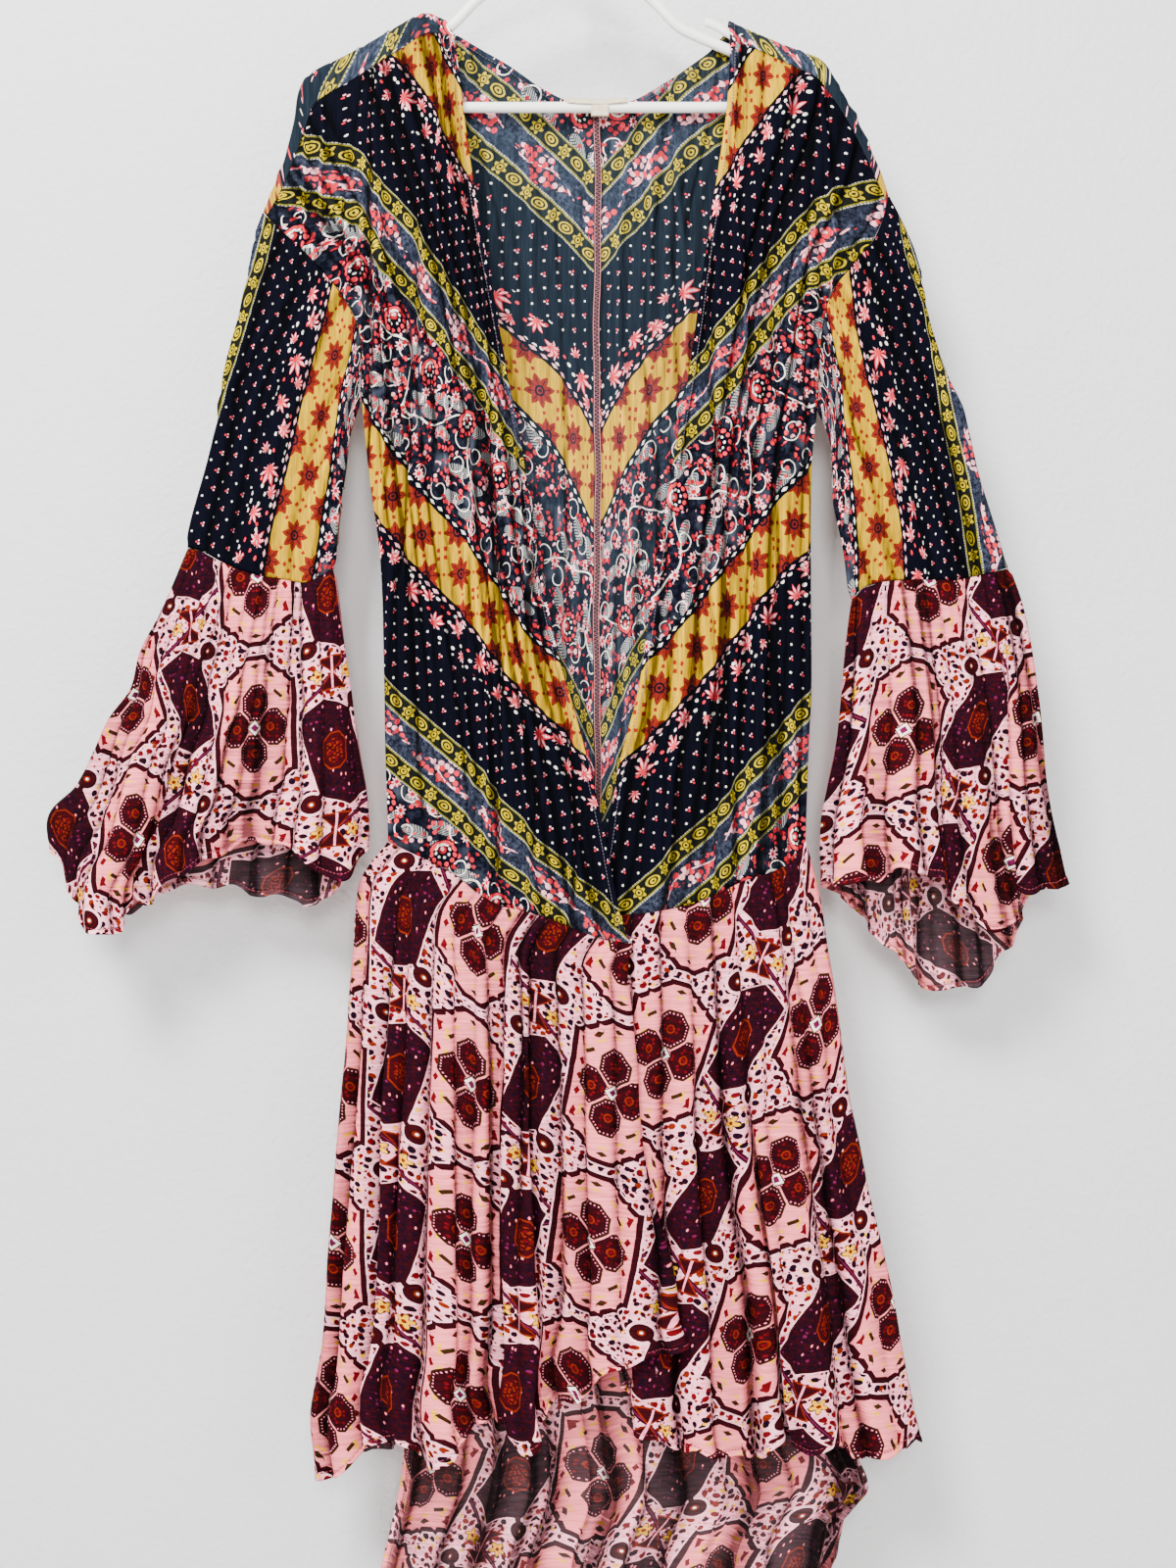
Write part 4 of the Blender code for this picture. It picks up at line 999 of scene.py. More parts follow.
def close_group(tree, **results):
    """Gives a group its outputs: one colour, and numbers."""
    for label in results:
        kind = "NodeSocketColor" if label == "Colour" else "NodeSocketFloat"
        tree.interface.new_socket(name=label, in_out="OUTPUT", socket_type=kind)
    put_all(tree.nodes.new("NodeGroupOutput").inputs, results)
    print(tree.name + ":", len(tree.nodes), "nodes")


def use_group(tree, name, **values):
    """Places a group in a tree and returns its outputs by name."""
    node = tree.nodes.new("ShaderNodeGroup")
    node.node_tree = bpy.data.node_groups[name]
    put_all(node.inputs, values)
    return {socket.name: Value(socket) for socket in node.outputs}


print("cream:", [round(part, 3) for part in dye(240, 230, 216)])

# %% [markdown]
# ## The bodice print
#
# Across its 290 mm the bodice print has six bands: mustard with rust stars, a border of coral leaves,
# navy with dots, and a slate ribbon of flower sprays between two narrow strips of yellow rosettes.
# Last comes a wide field of vines and berries. Each band is a group of its own.

# %% Mustard band with stars
DYES = {
    "navy": dye(2, 3, 14), "mustard": dye(170, 128, 0), "rust": dye(112, 28, 16),
    "star centre": dye(26, 10, 22), "coral": dye(198, 40, 54), "pale pink": dye(242, 166, 172),
    "cream": dye(240, 230, 216), "olive": dye(17, 19, 16), "yellow": dye(176, 152, 0),
    "slate": dye(17, 20, 32), "light slate": dye(76, 82, 100), "red": dye(158, 18, 32),
}
BAND = {"Along": "Float", "Across": "Float"}

group, a, t = new_group("mustard band", **BAND)
column, row = abs(a.every(50)), abs(t - 23.5)
second = (column / 25 + row / 23.5).above(1)
p, q = column + second * (25 - 2 * column), row + second * (23.5 - 2 * row)
r = reach(p, q)
point = abs(bearing(p, q).every(math.pi / 4)) * (8 / math.pi)
colour = paint("mustard", cloud(joined(a, t), 14), dye(188, 148, 0), r.below(13.9 - 5.6 * point), "rust")
colour = rings(colour, r, 4.4, "star centre", 2.6, "rust", 1.5, "star centre")
colour = paint(colour, abs(point - 0.02).below(0.1) * r.above(4.4) * r.below(9.5), "star centre")
for along_row, off_row, size in ((12.5, 11.7, 2.0), (20.5, 0, 2.4), (25, 5.2, 2.3), (17, 19.5, 1.9)):
    colour = paint(colour, (abs(column - along_row) + abs(row - off_row)).below(size), dye(128, 28, 16))
close_group(group, Colour=colour)

# %% Leaf border and dotted navy
LEAVES = [
    # along, across, size, turn
    (0, 66, 16, 0.5), (20, 58, 10, 2.2), (37, 71, 12, 1.3), (-31, 61, 13, 2.6), (-15, 74, 8, 4.0),
    (56, 61, 9, 0.2),
]

group, a, t = new_group("leaves and dots", **BAND)
p, q = (a + 7.5).every(15), (t + 8).every(16)
colour = paint("navy", reach(a.every(15), t.every(16)).below(0.95), "cream",
               reach(abs(p) - 1.2, q + 0.8).below(0.8), "pale pink", reach(p, q - 1.3).below(0.9), "coral",
               (t - 2 * abs(a.every(45) / 8).sine()).below(77), "navy")
p, q, chance = scatter(a, t, 7.5, 0.8)
buds = reach(p, q * 1.5).below(1.9) * t.below(78) * chance[0].above(0.45)
colour = paint(colour, buds, paint("cream", chance[1].above(0.6), "coral"))
for along_band, height, size, turn in LEAVES:
    p, q = (a - along_band).every(92), t - height
    r = reach(p, q * 1.15)
    way = bearing(p, q) + turn
    lobe = abs(way.every(math.tau / 9)) * (9 / math.pi)
    leaf = r.below(size * (1.0 - 0.6 * lobe) * (0.62 + 0.38 * way.cosine()))
    tint = (lobe * 1.7 + abs(r * (2.2 / size) - 1.1)).below(0.8)
    colour = paint(colour, leaf, paint("coral", tint, "pale pink"))
dash = (abs(a.every(10)) * (1.6 / 3.6) + abs(t - 50.5)).below(1.6)
close_group(group, Colour=paint(colour, t.below(53), "navy", dash, "pale pink"))

# %% Rosette strips and the slate ribbon
group, a, t = new_group("ribbon", **BAND)
place = joined(a, t)
spray = abs(a.every(70)) * 0.024 + abs(t - 160 - 3.0 * (a / 9).sine()) * 0.07 + cloud(place, 7) * 0.8
stalk = abs(t - 160 - 4 * (a / 11).sine()).below(0.7) * spray.below(1.25)
p, q, chance = scatter(a, t, 5.4, 0.55)
disc = reach(p, q).below(2.35) * spray.below(1.12)
side = abs(t - 160) - 19.5
colour = paint("slate", (cloud(place, 3.5, 3.0, 0.7) - 0.42) * 2.6, "light slate",
               (cloud(place, 16, 1.0) - 0.42) * 2.5, "slate", stalk, "pale pink",
               disc, paint("coral", chance[0].above(0.62), "pale pink"), abs(side).below(7.6), "olive")
p = a.every(29)
r = reach(p, side)
colour = paint(colour, r.below(4.6 + 1.1 * (bearing(p, side) * 6).cosine()), "yellow")
colour = rings(colour, r, 3.2, "olive", 2.3, "yellow", 1.0, "olive")
p = (a + 14.5).every(29)
r = reach(p * 0.62, side + 0.09 * p)
colour = rings(colour, r, 4.0, "yellow", 3.0, "olive", 2.0, "yellow", 0.8, "olive")
dash = abs(abs(side) - 7.5).below(0.55) * abs(a.every(2.2)).below(0.75)
close_group(group, Colour=paint(colour, abs(abs(side) - 6.4).below(0.4), dye(120, 112, 16),
                                dash, dye(176, 170, 150)))

# %% Field of vines and berries
group, a, t = new_group("vine field", **BAND)
place = joined(a, t)
colour = paint("navy", (cloud(place, 5, 3.0, 0.7) - 0.44) * 2.0, dye(44, 48, 64),
               (cloud(place, 24, 1.0) - 0.56) * 4, dye(66, 72, 86))
p, q, chance = scatter(a + 11, t, 29, 0.7)
leaf = reach(p * 0.5, q + 0.3 * p).below(5.4) * chance[0].above(0.3)
vein = abs((p + abs(q + 0.3 * p) * 0.8).every(2.4)).below(0.5)
vine = t - 236 - 21 * (a / 19).sine() - 6 * (a / 7.7).sine()
colour = paint(colour, leaf, paint(dye(140, 140, 138), vein, dye(26, 28, 38)), abs(vine).below(1.0), "cream")
p, q, chance = scatter(a, t + 9, 27, 0.8)
r = reach(p, q)
curl = abs(r - 6.6 - 0.9 * bearing(p, q)).below(0.5) * r.below(9.5) * chance[0].above(0.25)
colour = paint(colour, curl, "cream")
p, q, chance = scatter(a, t, 5.7, 0.75)
berry = reach(p, q).below(1.5 + 0.9 * chance[1]) * cloud(place, 13, 1.5).above(0.51)
colour = paint(colour, berry, paint("coral", chance[0].above(0.6), "red", chance[2].above(0.82), "pale pink"))
p, q, chance = scatter(a + 5, t - 7, 19, 0.75)
r, some = reach(p, q), chance[0].above(0.5)
colour = paint(colour, r.below(3.5 + 1.2 * (bearing(p, q) * 8).cosine()) * some, "pale pink",
               r.below(1.8) * some, "red")
p, q = a.every(66), t - 207
p, q = p * 0.82 + q * 0.57, q * 0.82 - p * 0.57
r, turn = reach(p, q), bearing(p, q)
rim = 8.6 + 5.0 * turn.cosine()
colour = paint(colour, (r - rim).below(3.0), "navy",
               reach(turn.every(math.tau / 15) * rim, r - rim).below(2.0), "coral",
               reach(turn.every(math.tau / 11) * rim * 0.6, r - rim * 0.6).below(1.15), "cream",
               (r - rim * 0.34).below(0.0), paint("red", (r - rim * 0.16).below(0.0), "pale pink"))
close_group(group, Colour=colour)

# %% The whole stripe
STRIPE = 290.0
MUSTARD_TO, LEAVES_TO, RIBBON_TO = 47, 133, 187

group, printed = new_group("bodice print", Print="Vector")
a, t, _ = parted(printed)
shake = cloud(joined(a, t), 9, 1.0) - 0.5
a, t = a + shake * 2.2, (t + shake * 1.6).wrap(STRIPE, 0.0)
dash = (abs(a.every(10)) * (1.5 / 3.4) + abs(t - 286.6)).below(1.5)
colour = use_group(group, "vine field", Along=a, Across=t)["Colour"]
colour = paint(colour, t.above(284), "navy", dash, "cream")
for name, ends in (("ribbon", RIBBON_TO), ("leaves and dots", LEAVES_TO), ("mustard band", MUSTARD_TO)):
    colour = paint(colour, t.below(ends), use_group(group, name, Along=a, Across=t)["Colour"])
close_group(group, Colour=colour)

# %% [markdown]
# ## The skirt print
#
# The skirt and the flounces have a rug-like print on pink: pale medallions with dark rosettes, purple
# lozenges, small triangles, and a fine scatter of petals over all the ground between. The columns of
# medallions are set half a step apart. The motifs here are plain ones of that kind, in a regular
# layout of their own. This print has dyes of its own too.

# %% Petal scatter
DYES = {
    "ground": dye(248, 176, 188), "lilac": dye(240, 128, 152), "pink": dye(240, 120, 128),
    "wine": dye(38, 2, 9), "red": dye(90, 5, 13), "rust": dye(108, 26, 6), "yellow": dye(226, 160, 16),
    "purple": dye(20, 2, 16), "plum": dye(92, 16, 56), "cream": dye(255, 228, 218), "olive": dye(42, 26, 6),
    "deep red": dye(48, 2, 8),
}
PETALS = [
    # size of the cells, offset, petal's length, dyes
    (5.2, 57.0, 1.1, "plum", "pink", "rust"),
    (8.8, 31.0, 2.3, "yellow", "rust", "wine"),
    (7.2, 0.0, 2.3, "deep red", "purple", "red"),
]

group, place = new_group("petal scatter", Place="Vector")
u, v, _ = parted(place)
colour = paint("ground", cloud(place, 18) - 0.1, "lilac")
for size, offset, length, first_dye, second_dye, third_dye in PETALS:
    p, q, chance = scatter(u + offset, v + offset * 0.7, size, 0.5)
    cos, sin = (chance[0] * 6.28).cosine(), (chance[0] * 6.28).sine()
    petal = reach(p * cos + q * sin, (q * cos - p * sin) * 1.35).below(length * (0.75 + 0.55 * chance[1]))
    tint = paint(first_dye, chance[1].above(0.4), second_dye, chance[0].above(0.66), third_dye)
    colour = paint(colour, petal * chance[2].above(0.08), tint)
close_group(group, Colour=colour)

# %% Medallion
MOTIF = {"P": "Float", "Q": "Float", "Under": "Color"}

group, p, q, under = new_group("medallion", **MOTIF)
p, q = abs(p), abs(q)
tooth = 1.5 * (abs((p - q).every(17)) * 0.5 - 1.0).at_most(0.6)
edge = (p - 37).at_least(q - 58).at_least(p * 0.62 + q * 0.78 - 51.5 + tooth)
turn = bearing(p, q)
fleck = (abs(edge + 6.5) + abs((turn * 24).every(9.5))).below(2.4)
dash = abs(edge + 11.5).below(1.0) * abs((turn * 20).every(8.0)).below(1.9)
bar = abs(reach(p, q * 0.9) - 33).below(1.3) * abs(turn - 0.9).below(0.11)
colour = paint(rings(under, edge, 3.4, "ground", 2.2, "wine", -2.0, "pink"),
               fleck, paint("olive", p.above(19), "red"), dash, "yellow", bar, "olive")
upper = (q * 0.9 - p).above(-1.5)
x, y = p - 16.5 * (1 - upper), q - 21 * upper
r = abs(x).at_least(abs(y) * 0.88).at_least((abs(x) + abs(y) * 0.9) * 0.72)
bead = abs(r - 11.2).below(0.45) * abs(bearing(x, y).every(math.tau / 30)).below(0.04)
far_x, far_y, chance = scatter(x, y, 3.4, 0.6)
seed = reach(far_x, far_y).below(1.15) * r.below(9.2) * chance[0].above(0.25)
colour = paint(rings(colour, r, 13.4, "olive", 12.4, "wine"), bead, "lilac",
               seed, paint("deep red", chance[1].above(0.45), "red"),
               abs(r - 2.6).below(0.6), "rust", r.below(1.0), "red")
close_group(group, Colour=rings(colour, p + q, 7.4, "olive", 6.2, "cream", 3.4, "plum"))

# %% Lozenge with its two knobs
group, p, q, under = new_group("lozenge", **MOTIF)
lean = p + 0.22 * q
edge = (abs(lean) - 21.5).at_least(abs(lean) * 0.55 + abs(q) - 44)
knob = reach(p - q.sign() * 21, abs(q) - 40)
neck = abs(p - q.sign() * 14 - (q - q.sign() * 33) * 0.8).below(2.6) * abs(abs(q) - 33).below(7)
colour = paint(under, edge.at_most(knob - 7.8).below(2.2), "ground", neck, "wine", knob.below(7.8), "wine",
               abs(knob - 5.4).below(0.5), "deep red")
colour = paint(rings(colour, knob, 2.7, "rust", 1.2, "cream"), edge.below(1.2), "wine")
x, y, chance = scatter(p, q, 4.2, 0.9)
cloth = paint("purple", (cloud(joined(p, q), 3.2, 2.0) - 0.4) * 3, "deep red",
              reach(x, y).below(0.6 + chance[2] * 0.7) * chance[0].above(0.5),
              paint("deep red", chance[1].above(0.5), "plum"),
              reach(x * 1.6, y * 0.7).below(0.9) * chance[1].above(0.86), "pink")
eye = (abs(p) * 1.25).at_least(abs(p) * 0.7 + abs(q) * 0.62).at_least(abs(q) * 0.78)
x, y, chance = scatter(p, q, 2.6, 0.8)
heart = paint("deep red", reach(x, y).below(0.95), paint("rust", chance[0].above(0.6), "red"))
colour = rings(paint(colour, edge.below(-0.8), cloth), eye, 11.8, "rust", 10.6, "deep red", 7.6, heart)
close_group(group, Colour=colour)

# %% Triangles, florets and links
group, p, q, under = new_group("bow", **MOTIF)
p, q = abs(p), abs(q)
wing = (p * 1.2 - q).at_least(q - 13)
r = reach(p - 13.5, q)
petals = r - 1.6 * (bearing(p - 13.5, q) * 5).cosine()
colour = paint(rings(under, petals, 5.2, "olive", 4.3, "yellow"), r.below(1.5), "rust")
colour = rings(colour, wing, 0.9, "rust", -0.5, "deep red", -2.4, "wine")
close_group(group, Colour=paint(colour, p.below(0.8) * q.below(13), "lilac"))

# %% The whole skirt print
COLUMN, STEP = 146.0, 128.0

group, printed = new_group("skirt print", Print="Vector")
u, v, _ = parted(printed)
u, v = u * 0.87 + v * 0.27, v * 0.956 - u * 0.292
shake = cloud(joined(u, v), 14) - 0.5
u, v = u + shake * 1.4, v + shake * 1.1
p, side = u.every(COLUMN), (u + COLUMN / 2).every(COLUMN)
odd = (u / COLUMN + 0.5).floor().modulo(2.0)
odd_side = ((u + COLUMN / 2) / COLUMN + 0.5).floor().modulo(2.0)
q = (v + (STEP / 2) * abs(odd)).every(STEP)
high = v + (STEP / 2) * abs(odd_side) - STEP / 4
link, beside = abs(abs(q) - (abs(p) - 33) * 0.78), abs(p).above(33)
colour = paint(use_group(group, "petal scatter", Place=joined(u, v))["Colour"],
               link.below(2.0) * beside, "wine", link.below(0.5) * beside, "plum")
for name, x, y in (("bow", side, (high + STEP / 2).every(STEP)), ("lozenge", side, high.every(STEP)),
                   ("medallion", p, q)):
    colour = use_group(group, name, P=x, Q=y, Under=colour)["Colour"]
close_group(group, Colour=colour)

# %% [markdown]
# ## The cloth itself
#
# Both prints are on the same cloth, a thin rayon gauze with a permanent crinkle. Its threads show as a fine
# broken grain. On the inside the dye is weaker, and the bare yarn greys the print. The shade in each crease
# is painted into the colour from the depth that was kept with the mesh, and so is the shade of the fine
# crinkle. The hems have a row of stitches beside the fold, a painted highlight on the fold and a painted
# shadow in the groove beside it.

# %% Gauze
FOLD_AT, STITCH_AT, GROOVE_AT = 2.0, 4.6, 5.8

group, dyed, printed, place, dent, away, beside, fade, bare, crinkle, thread = new_group(
    "gauze", Dyed="Color", Print="Vector", Place="Vector", Dent="Float", Away="Float", Beside="Float",
    Fade="Float", Bare="Color", Crinkle="Vector", Thread="Color")
crepe = cloud(scaled(place, crinkle), 1.0, 2.0, 0.6)
grain = cloud(printed, 0.8, 2.0, 0.7)
p, q, _ = parted(printed)
weave = (p * 7.5).sine() * (q * 7.5).sine()
# Painted highlight along the hem's turned fold, and painted shadow in the groove beside its stitched line.
fold_highlight = (1.0 - abs(away - FOLD_AT) * 0.5).at_least(0.0)
groove_shadow = (1.0 - abs(away - GROOVE_AT) * 0.7).at_least(0.0)
# Painted shade: the crinkle's noise and the crease depth kept with the mesh darken the dye in hollows and
# lighten it on crests; the grain is the yarn's own unevenness.
tone = 1.0 + (crepe - 0.5) * 1.5 + (grain - 0.5) * 0.5 + dent.at_least(-3.4).at_most(0.9) * 0.27
tone = (tone + fold_highlight * 0.3 - groove_shadow * 0.3).at_least(0.14)
stitch = abs(away - STITCH_AT).below(0.34) * abs(beside.every(2.8)).below(0.9)
close_group(group, Colour=paint(scaled(paint(dyed, fade, bare), joined(tone, tone, tone)), stitch, thread),
            Height=crepe + 0.05 * weave + grain * 0.25 + stitch * 0.3, Roughness=0.78 + grain * 0.2)


def new_material(name, dress):
    """A material whose shader gets what dress(tree) gives for its sockets."""
    material = bpy.data.materials.new(name)
    material.use_nodes = True
    tree = material.node_tree
    put_all(tree.nodes["Principled BSDF"].inputs, dress(tree))
    return material


def bumped(tree, height, strength, distance):
    """The normal of a surface that has this relief."""
    normal = add_node(tree, "Bump", strength, output="Normal")
    put_all(normal.socket.node.inputs, {"Distance": distance, "Height": height})
    return normal


def skin_of(tree, group_name, strength, distance, **values):
    """Colour, roughness and relief of a group, for the shader's sockets."""
    skin = use_group(tree, group_name, Place=add_node(tree, "TexCoord", output="Object"), **values)
    return {"Base Color": skin["Colour"], "Roughness": skin["Roughness"],
            "Normal": bumped(tree, skin["Height"], strength, distance)}


def gauze_skin(tree, print_name, **values):
    place = add_node(tree, "UVMap", uv_map="print")
    kept = {label: add_node(tree, "Attribute", output="Fac", attribute_name=name)
            for label, name in (("Dent", "dent"), ("Away", "edge_away"), ("Beside", "edge_along"))}
    dyed = use_group(tree, print_name, Print=place)["Colour"]
    skin = skin_of(tree, "gauze", 0.6, 0.0007, Dyed=dyed, Print=place, **kept, **values)
    return skin | {"Specular IOR Level": 0.04}


GAUZES = {
    # name, share of bare yarn inside and its colour, how the crinkle is stretched, sewing thread
    "bodice": ("navy", 0.022, dye(150, 188, 212), (520, 520, 32), dye(84, 78, 88)),
    "skirt": ("pink", 0.045, dye(200, 182, 186), (38, 38, 560), dye(130, 50, 62)),
}
MATERIALS = {}
for slot, (name, share, bare, crinkle, thread) in GAUZES.items():
    for face, fade in (("", 0.0), ("_inside", share)):
        MATERIALS[slot + face] = new_material("printed_gauze_" + name + face, lambda tree: gauze_skin(
            tree, slot + " print", Fade=fade, Bare=bare, Crinkle=crinkle, Thread=thread))
print("cloth materials:", ", ".join(MATERIALS))

# %% [markdown]
# ## From sheets to cloth pieces
#
# A piece is one thin wall of cloth. Its mesh is written from the sheet's points. The print goes into a UV
# map, and each point also keeps how far it lies from the free edge, how far along that edge it is, and the
# shade painted into its creases and folds, for the stitches and that painted shade. Solidify then gives the
# wall
# 0.6 mm, and 1.6 mm in the hem, where the cloth is turned over twice.

# %% Writing a cloth piece
WALL, HEM_WALL, HEM_WIDTH = 0.6, 1.6, 4.9
FAR = 99.0


def grid_numbers(grid, start=0):
    rows, columns = grid.shape[:2]
    return np.arange(rows * columns).reshape(rows, columns) + start


def grid_quads(ids):
    return np.stack([ids[:-1, :-1], ids[:-1, 1:], ids[1:, 1:], ids[1:, :-1]], axis=-1).reshape(-1, 4)


def only(piece):
    """Selects one object alone, as a click on it does."""
    bpy.ops.object.select_all(action="DESELECT")
    piece.select_set(True)
    bpy.context.view_layer.objects.active = piece


def new_sheet(name, points, quads, uvs, *materials):
    """A sheet from points in millimetres, with its print's place at each point."""
    data = bpy.data.meshes.new(name)
    data.from_pydata((points * MM).tolist(), [], quads.tolist())
    loops = np.empty(len(data.loops), int)
    data.loops.foreach_get("vertex_index", loops)
    data.uv_layers.new(name="print").data.foreach_set("uv", uvs[loops].astype(np.float32).ravel())
    data.shade_smooth()
    for material in materials:
        data.materials.append(material)
    piece = bpy.data.objects.new(name, data)
    scene.collection.objects.link(piece)
    return piece


def give_wall(piece, thickness, **settings):
    """Gives a sheet its thickness, half on each side."""
    only(piece)
    wall = piece.modifiers.new("wall", "SOLIDIFY")
    wall.thickness, wall.offset = thickness * MM, 0.0
    for label, setting in settings.items():
        setattr(wall, label, setting)
    bpy.ops.object.modifier_apply(modifier="wall")


def cloth_piece(name, slot, parts, welded=None, ring=False):
    """One piece of cloth. Each part is a sheet, its print, how far its points lie from the hem, how far
    along the hem they lie, and the shade painted into its creases. The first row of a second sheet is welded
    to the first one."""
    blocks, faces, ids = [], [], None
    for part in parts:
        start = sum(len(block[0]) for block in blocks)
        if ids is None:
            ids = grid_numbers(part[0])
        else:
            ids = np.vstack([ids[-1][welded], grid_numbers(part[0], start)[:-1]])
            part = [values[1:] for values in part]
        rows, columns = part[0].shape[:2]
        blocks.append([values.reshape(rows * columns, -1) for values in part])
        faces.append(grid_quads(np.hstack([ids, ids[:, :1]]) if ring else ids))
    points, uvs, away, along, dent = (np.concatenate(column) for column in zip(*blocks))
    quads = np.concatenate(faces)
    corners = points[quads]
    normal_y = np.cross(corners[:, 1] - corners[:, 0], corners[:, 3] - corners[:, 0])[:, 1]
    if (normal_y * corners[:, :, 1].mean(axis=1)).sum() < 0:
        quads = quads[:, ::-1]
    piece = new_sheet(name + "_cloth", points, quads, uvs, MATERIALS[slot], MATERIALS[slot + "_inside"])
    for label, values in (("edge_away", away), ("edge_along", along), ("dent", dent)):
        layer = piece.data.attributes.new(label, "FLOAT", "POINT")
        layer.data.foreach_set("value", values.ravel().astype(np.float32))
    hem = piece.vertex_groups.new(name="hem")
    hem.add(np.nonzero(away.ravel() < HEM_WIDTH)[0].tolist(), 1.0, "REPLACE")
    give_wall(piece, HEM_WALL, vertex_group="hem", thickness_vertex_group=WALL / HEM_WALL,
              use_quality_normals=True, material_offset=1)
    print(name, len(piece.data.polygons) * 2, "triangles")
    return piece


print("cloth wall", WALL, "mm, hem", HEM_WALL, "mm")

# %% Relief and hems
FOLD_PROUD = 4.4


def edge_fade(grid, width, *edges):
    """0 on the named edges of a sheet, and 1 from this far inside them."""
    return smoothstep(np.minimum.reduce([run_length(grid, *EDGES[edge]) for edge in edges]) / width)


def raised(grid, relief):
    """A sheet with this relief on its outer side."""
    return grid + outward(grid) * relief[:, :, None]


def from_hem(grid):
    """How far each point lies from the last row, and how far along that row."""
    return run_length(grid, 0, True), np.repeat(run_length(grid, 1)[-1:], len(grid), axis=0)


def waves(seed, along, lengths):
    """An uneven wave along an edge, the sum of waves of these lengths."""
    rng = np.random.default_rng(seed)
    return sum(np.sin(along / wave + rng.uniform(0, 6.3)) for wave in lengths) / 2


def hem_wave(seed, along, away, size):
    return size * np.exp(-(away / 9) ** 2) * waves(seed, along, (3.1, 5.3, 9.7))


def dropped(shaped, seed, along, away, size):
    """Lets the hem hang unevenly: each point near it goes up or down a little."""
    shaped[:, :, 2] += size * waves(seed, along, (6.1, 9.4, 15.7, 24.0)) * np.exp(-away / 16)
    return shaped


def within_depth(shaped):
    """Holds the deepest folds back, so that they stand only a few millimetres out of the cut pieces."""
    front, back = frame_box[0][1] / MM, frame_box[1][1] / MM
    limit = (back - front) / 2 + FOLD_PROUD
    far = (shaped[:, :, 1] - (front + back) / 2) / limit
    shaped[:, :, 1] = (front + back) / 2 + limit * far / (1 + np.abs(far) ** 8) ** 0.125
    return shaped


print("folds stand out by", FOLD_PROUD, "mm at most")

# %% [markdown]
# ## Bodice
#
# Two fronts, and two backs that run on over the shoulders to a forward seam. The free edges are the front
# edges and the neck. Their narrow hem has a small wave of its own, as edges cut on the slant have.

# %% Fronts and backs
made = {}
for number, side in enumerate(SIDES):
    name = "front_" + side
    grid = sheets[name]
    away = run_length(grid, 1, True)
    beside = np.repeat(run_length(grid, 0)[:, -1:], grid.shape[1], axis=1)
    _, folded, shade = fold_lines(120 + number, grid, *ROUND_FOLDS["front"])
    relief = reliefs[name] + folded + ripple(90 + number, grid[:, :, 0], grid[:, :, 2], 0.7)
    relief = relief * (0.35 + 0.65 * smoothstep(away / 8)) + hem_wave(95 + number, beside, away, 0.5)
    shaped = raised(grid, relief * edge_fade(grid, 8, "start", "end", "left"))
    # Painted shade for the front: crease and fold hollows darker, crests lighter.
    dent = reliefs[name] * 1.3 + shade * 1.1
    made[name] = cloth_piece(name, "bodice", [(shaped, prints[name], away, beside, dent)])

    name = "back_" + side
    grid, strip = sheets[name], sheets["strip_" + side]
    count = strip.shape[1]
    away, beside = from_hem(grid)
    away[:, :count - 1] = FAR
    _, folded, shade = fold_lines(130 + number, grid, *ROUND_FOLDS["back"])
    relief = reliefs[name] + folded + ripple(97 + number, grid[:, :, 0], grid[:, :, 2], 0.8)
    shaped = raised(grid, relief * edge_fade(grid, 8, *EDGES))
    shaped[-1, :count] = grid[-1, :count]
    strip_relief = 0.5 * reliefs["strip_" + side] * edge_fade(strip, 8, *EDGES)
    strip_beside = np.repeat(run_length(strip, 0)[:, :1], count, axis=1)
    # Painted shade for the back: crease and fold hollows darker, crests lighter; the shoulder strip's painted
    # shade is its own crease relief.
    dent = reliefs[name] + shade * 0.45
    strip_away = run_length(strip, 1)
    shaped_strip = raised(strip, strip_relief)
    made[name] = cloth_piece(name, "bodice", [
        (shaped, prints[name], away, beside, dent),
        (shaped_strip, prints["strip_" + side], strip_away, strip_beside, strip_relief),
    ], welded=np.arange(count)[::-1])

# %% [markdown]
# ## Sleeves, flounces and skirt
#
# The sleeves and flounces are tubes. The skirt has one gathered front, which laps over itself under
# the lapped front edges, and one gathered back with a long rounded train.

# %% Sleeve and flounce tubes
for number, side in enumerate(SIDES):
    name = "sleeve_" + side
    grid = sheets[name]
    _, folded, shade = fold_lines(140 + number, grid, *ROUND_FOLDS["sleeve"])
    shaped = raised(grid, (reliefs[name] + folded) * edge_fade(grid, 10, "start", "end"))
    no_hem = np.full(grid.shape[:2], FAR)
    # Painted shade for the sleeve: crease and fold hollows darker, crests lighter.
    dent = reliefs[name] * 1.2 + shade * 0.7
    made[name] = cloth_piece(name, "bodice", [(shaped, prints[name], no_hem, no_hem, dent)], ring=True)

    name = "flounce_" + side
    grid = sheets[name]
    away, beside = from_hem(grid)
    relief = reliefs[name] * edge_fade(grid, 5, "start") + hem_wave(101 + number, beside, away, 1.8)
    shaped = within_depth(dropped(raised(grid, relief), 111 + number, beside, away, 4.2))
    made[name] = cloth_piece(name, "skirt", [(shaped, prints[name], away, beside, shades[name])], ring=True)

# %% Skirt front and back
name = "skirt_front"
grid = sheets[name]
away, beside = from_hem(grid)
relief = (reliefs[name] + hem_wave(103, beside, away, 2.0)) * edge_fade(grid, 6, "start", "left", "right")
shaped = within_depth(dropped(raised(grid, relief), 115, beside, away, 4.6))
made[name] = cloth_piece(name, "skirt", [(shaped, prints[name], away, beside, shades[name])])

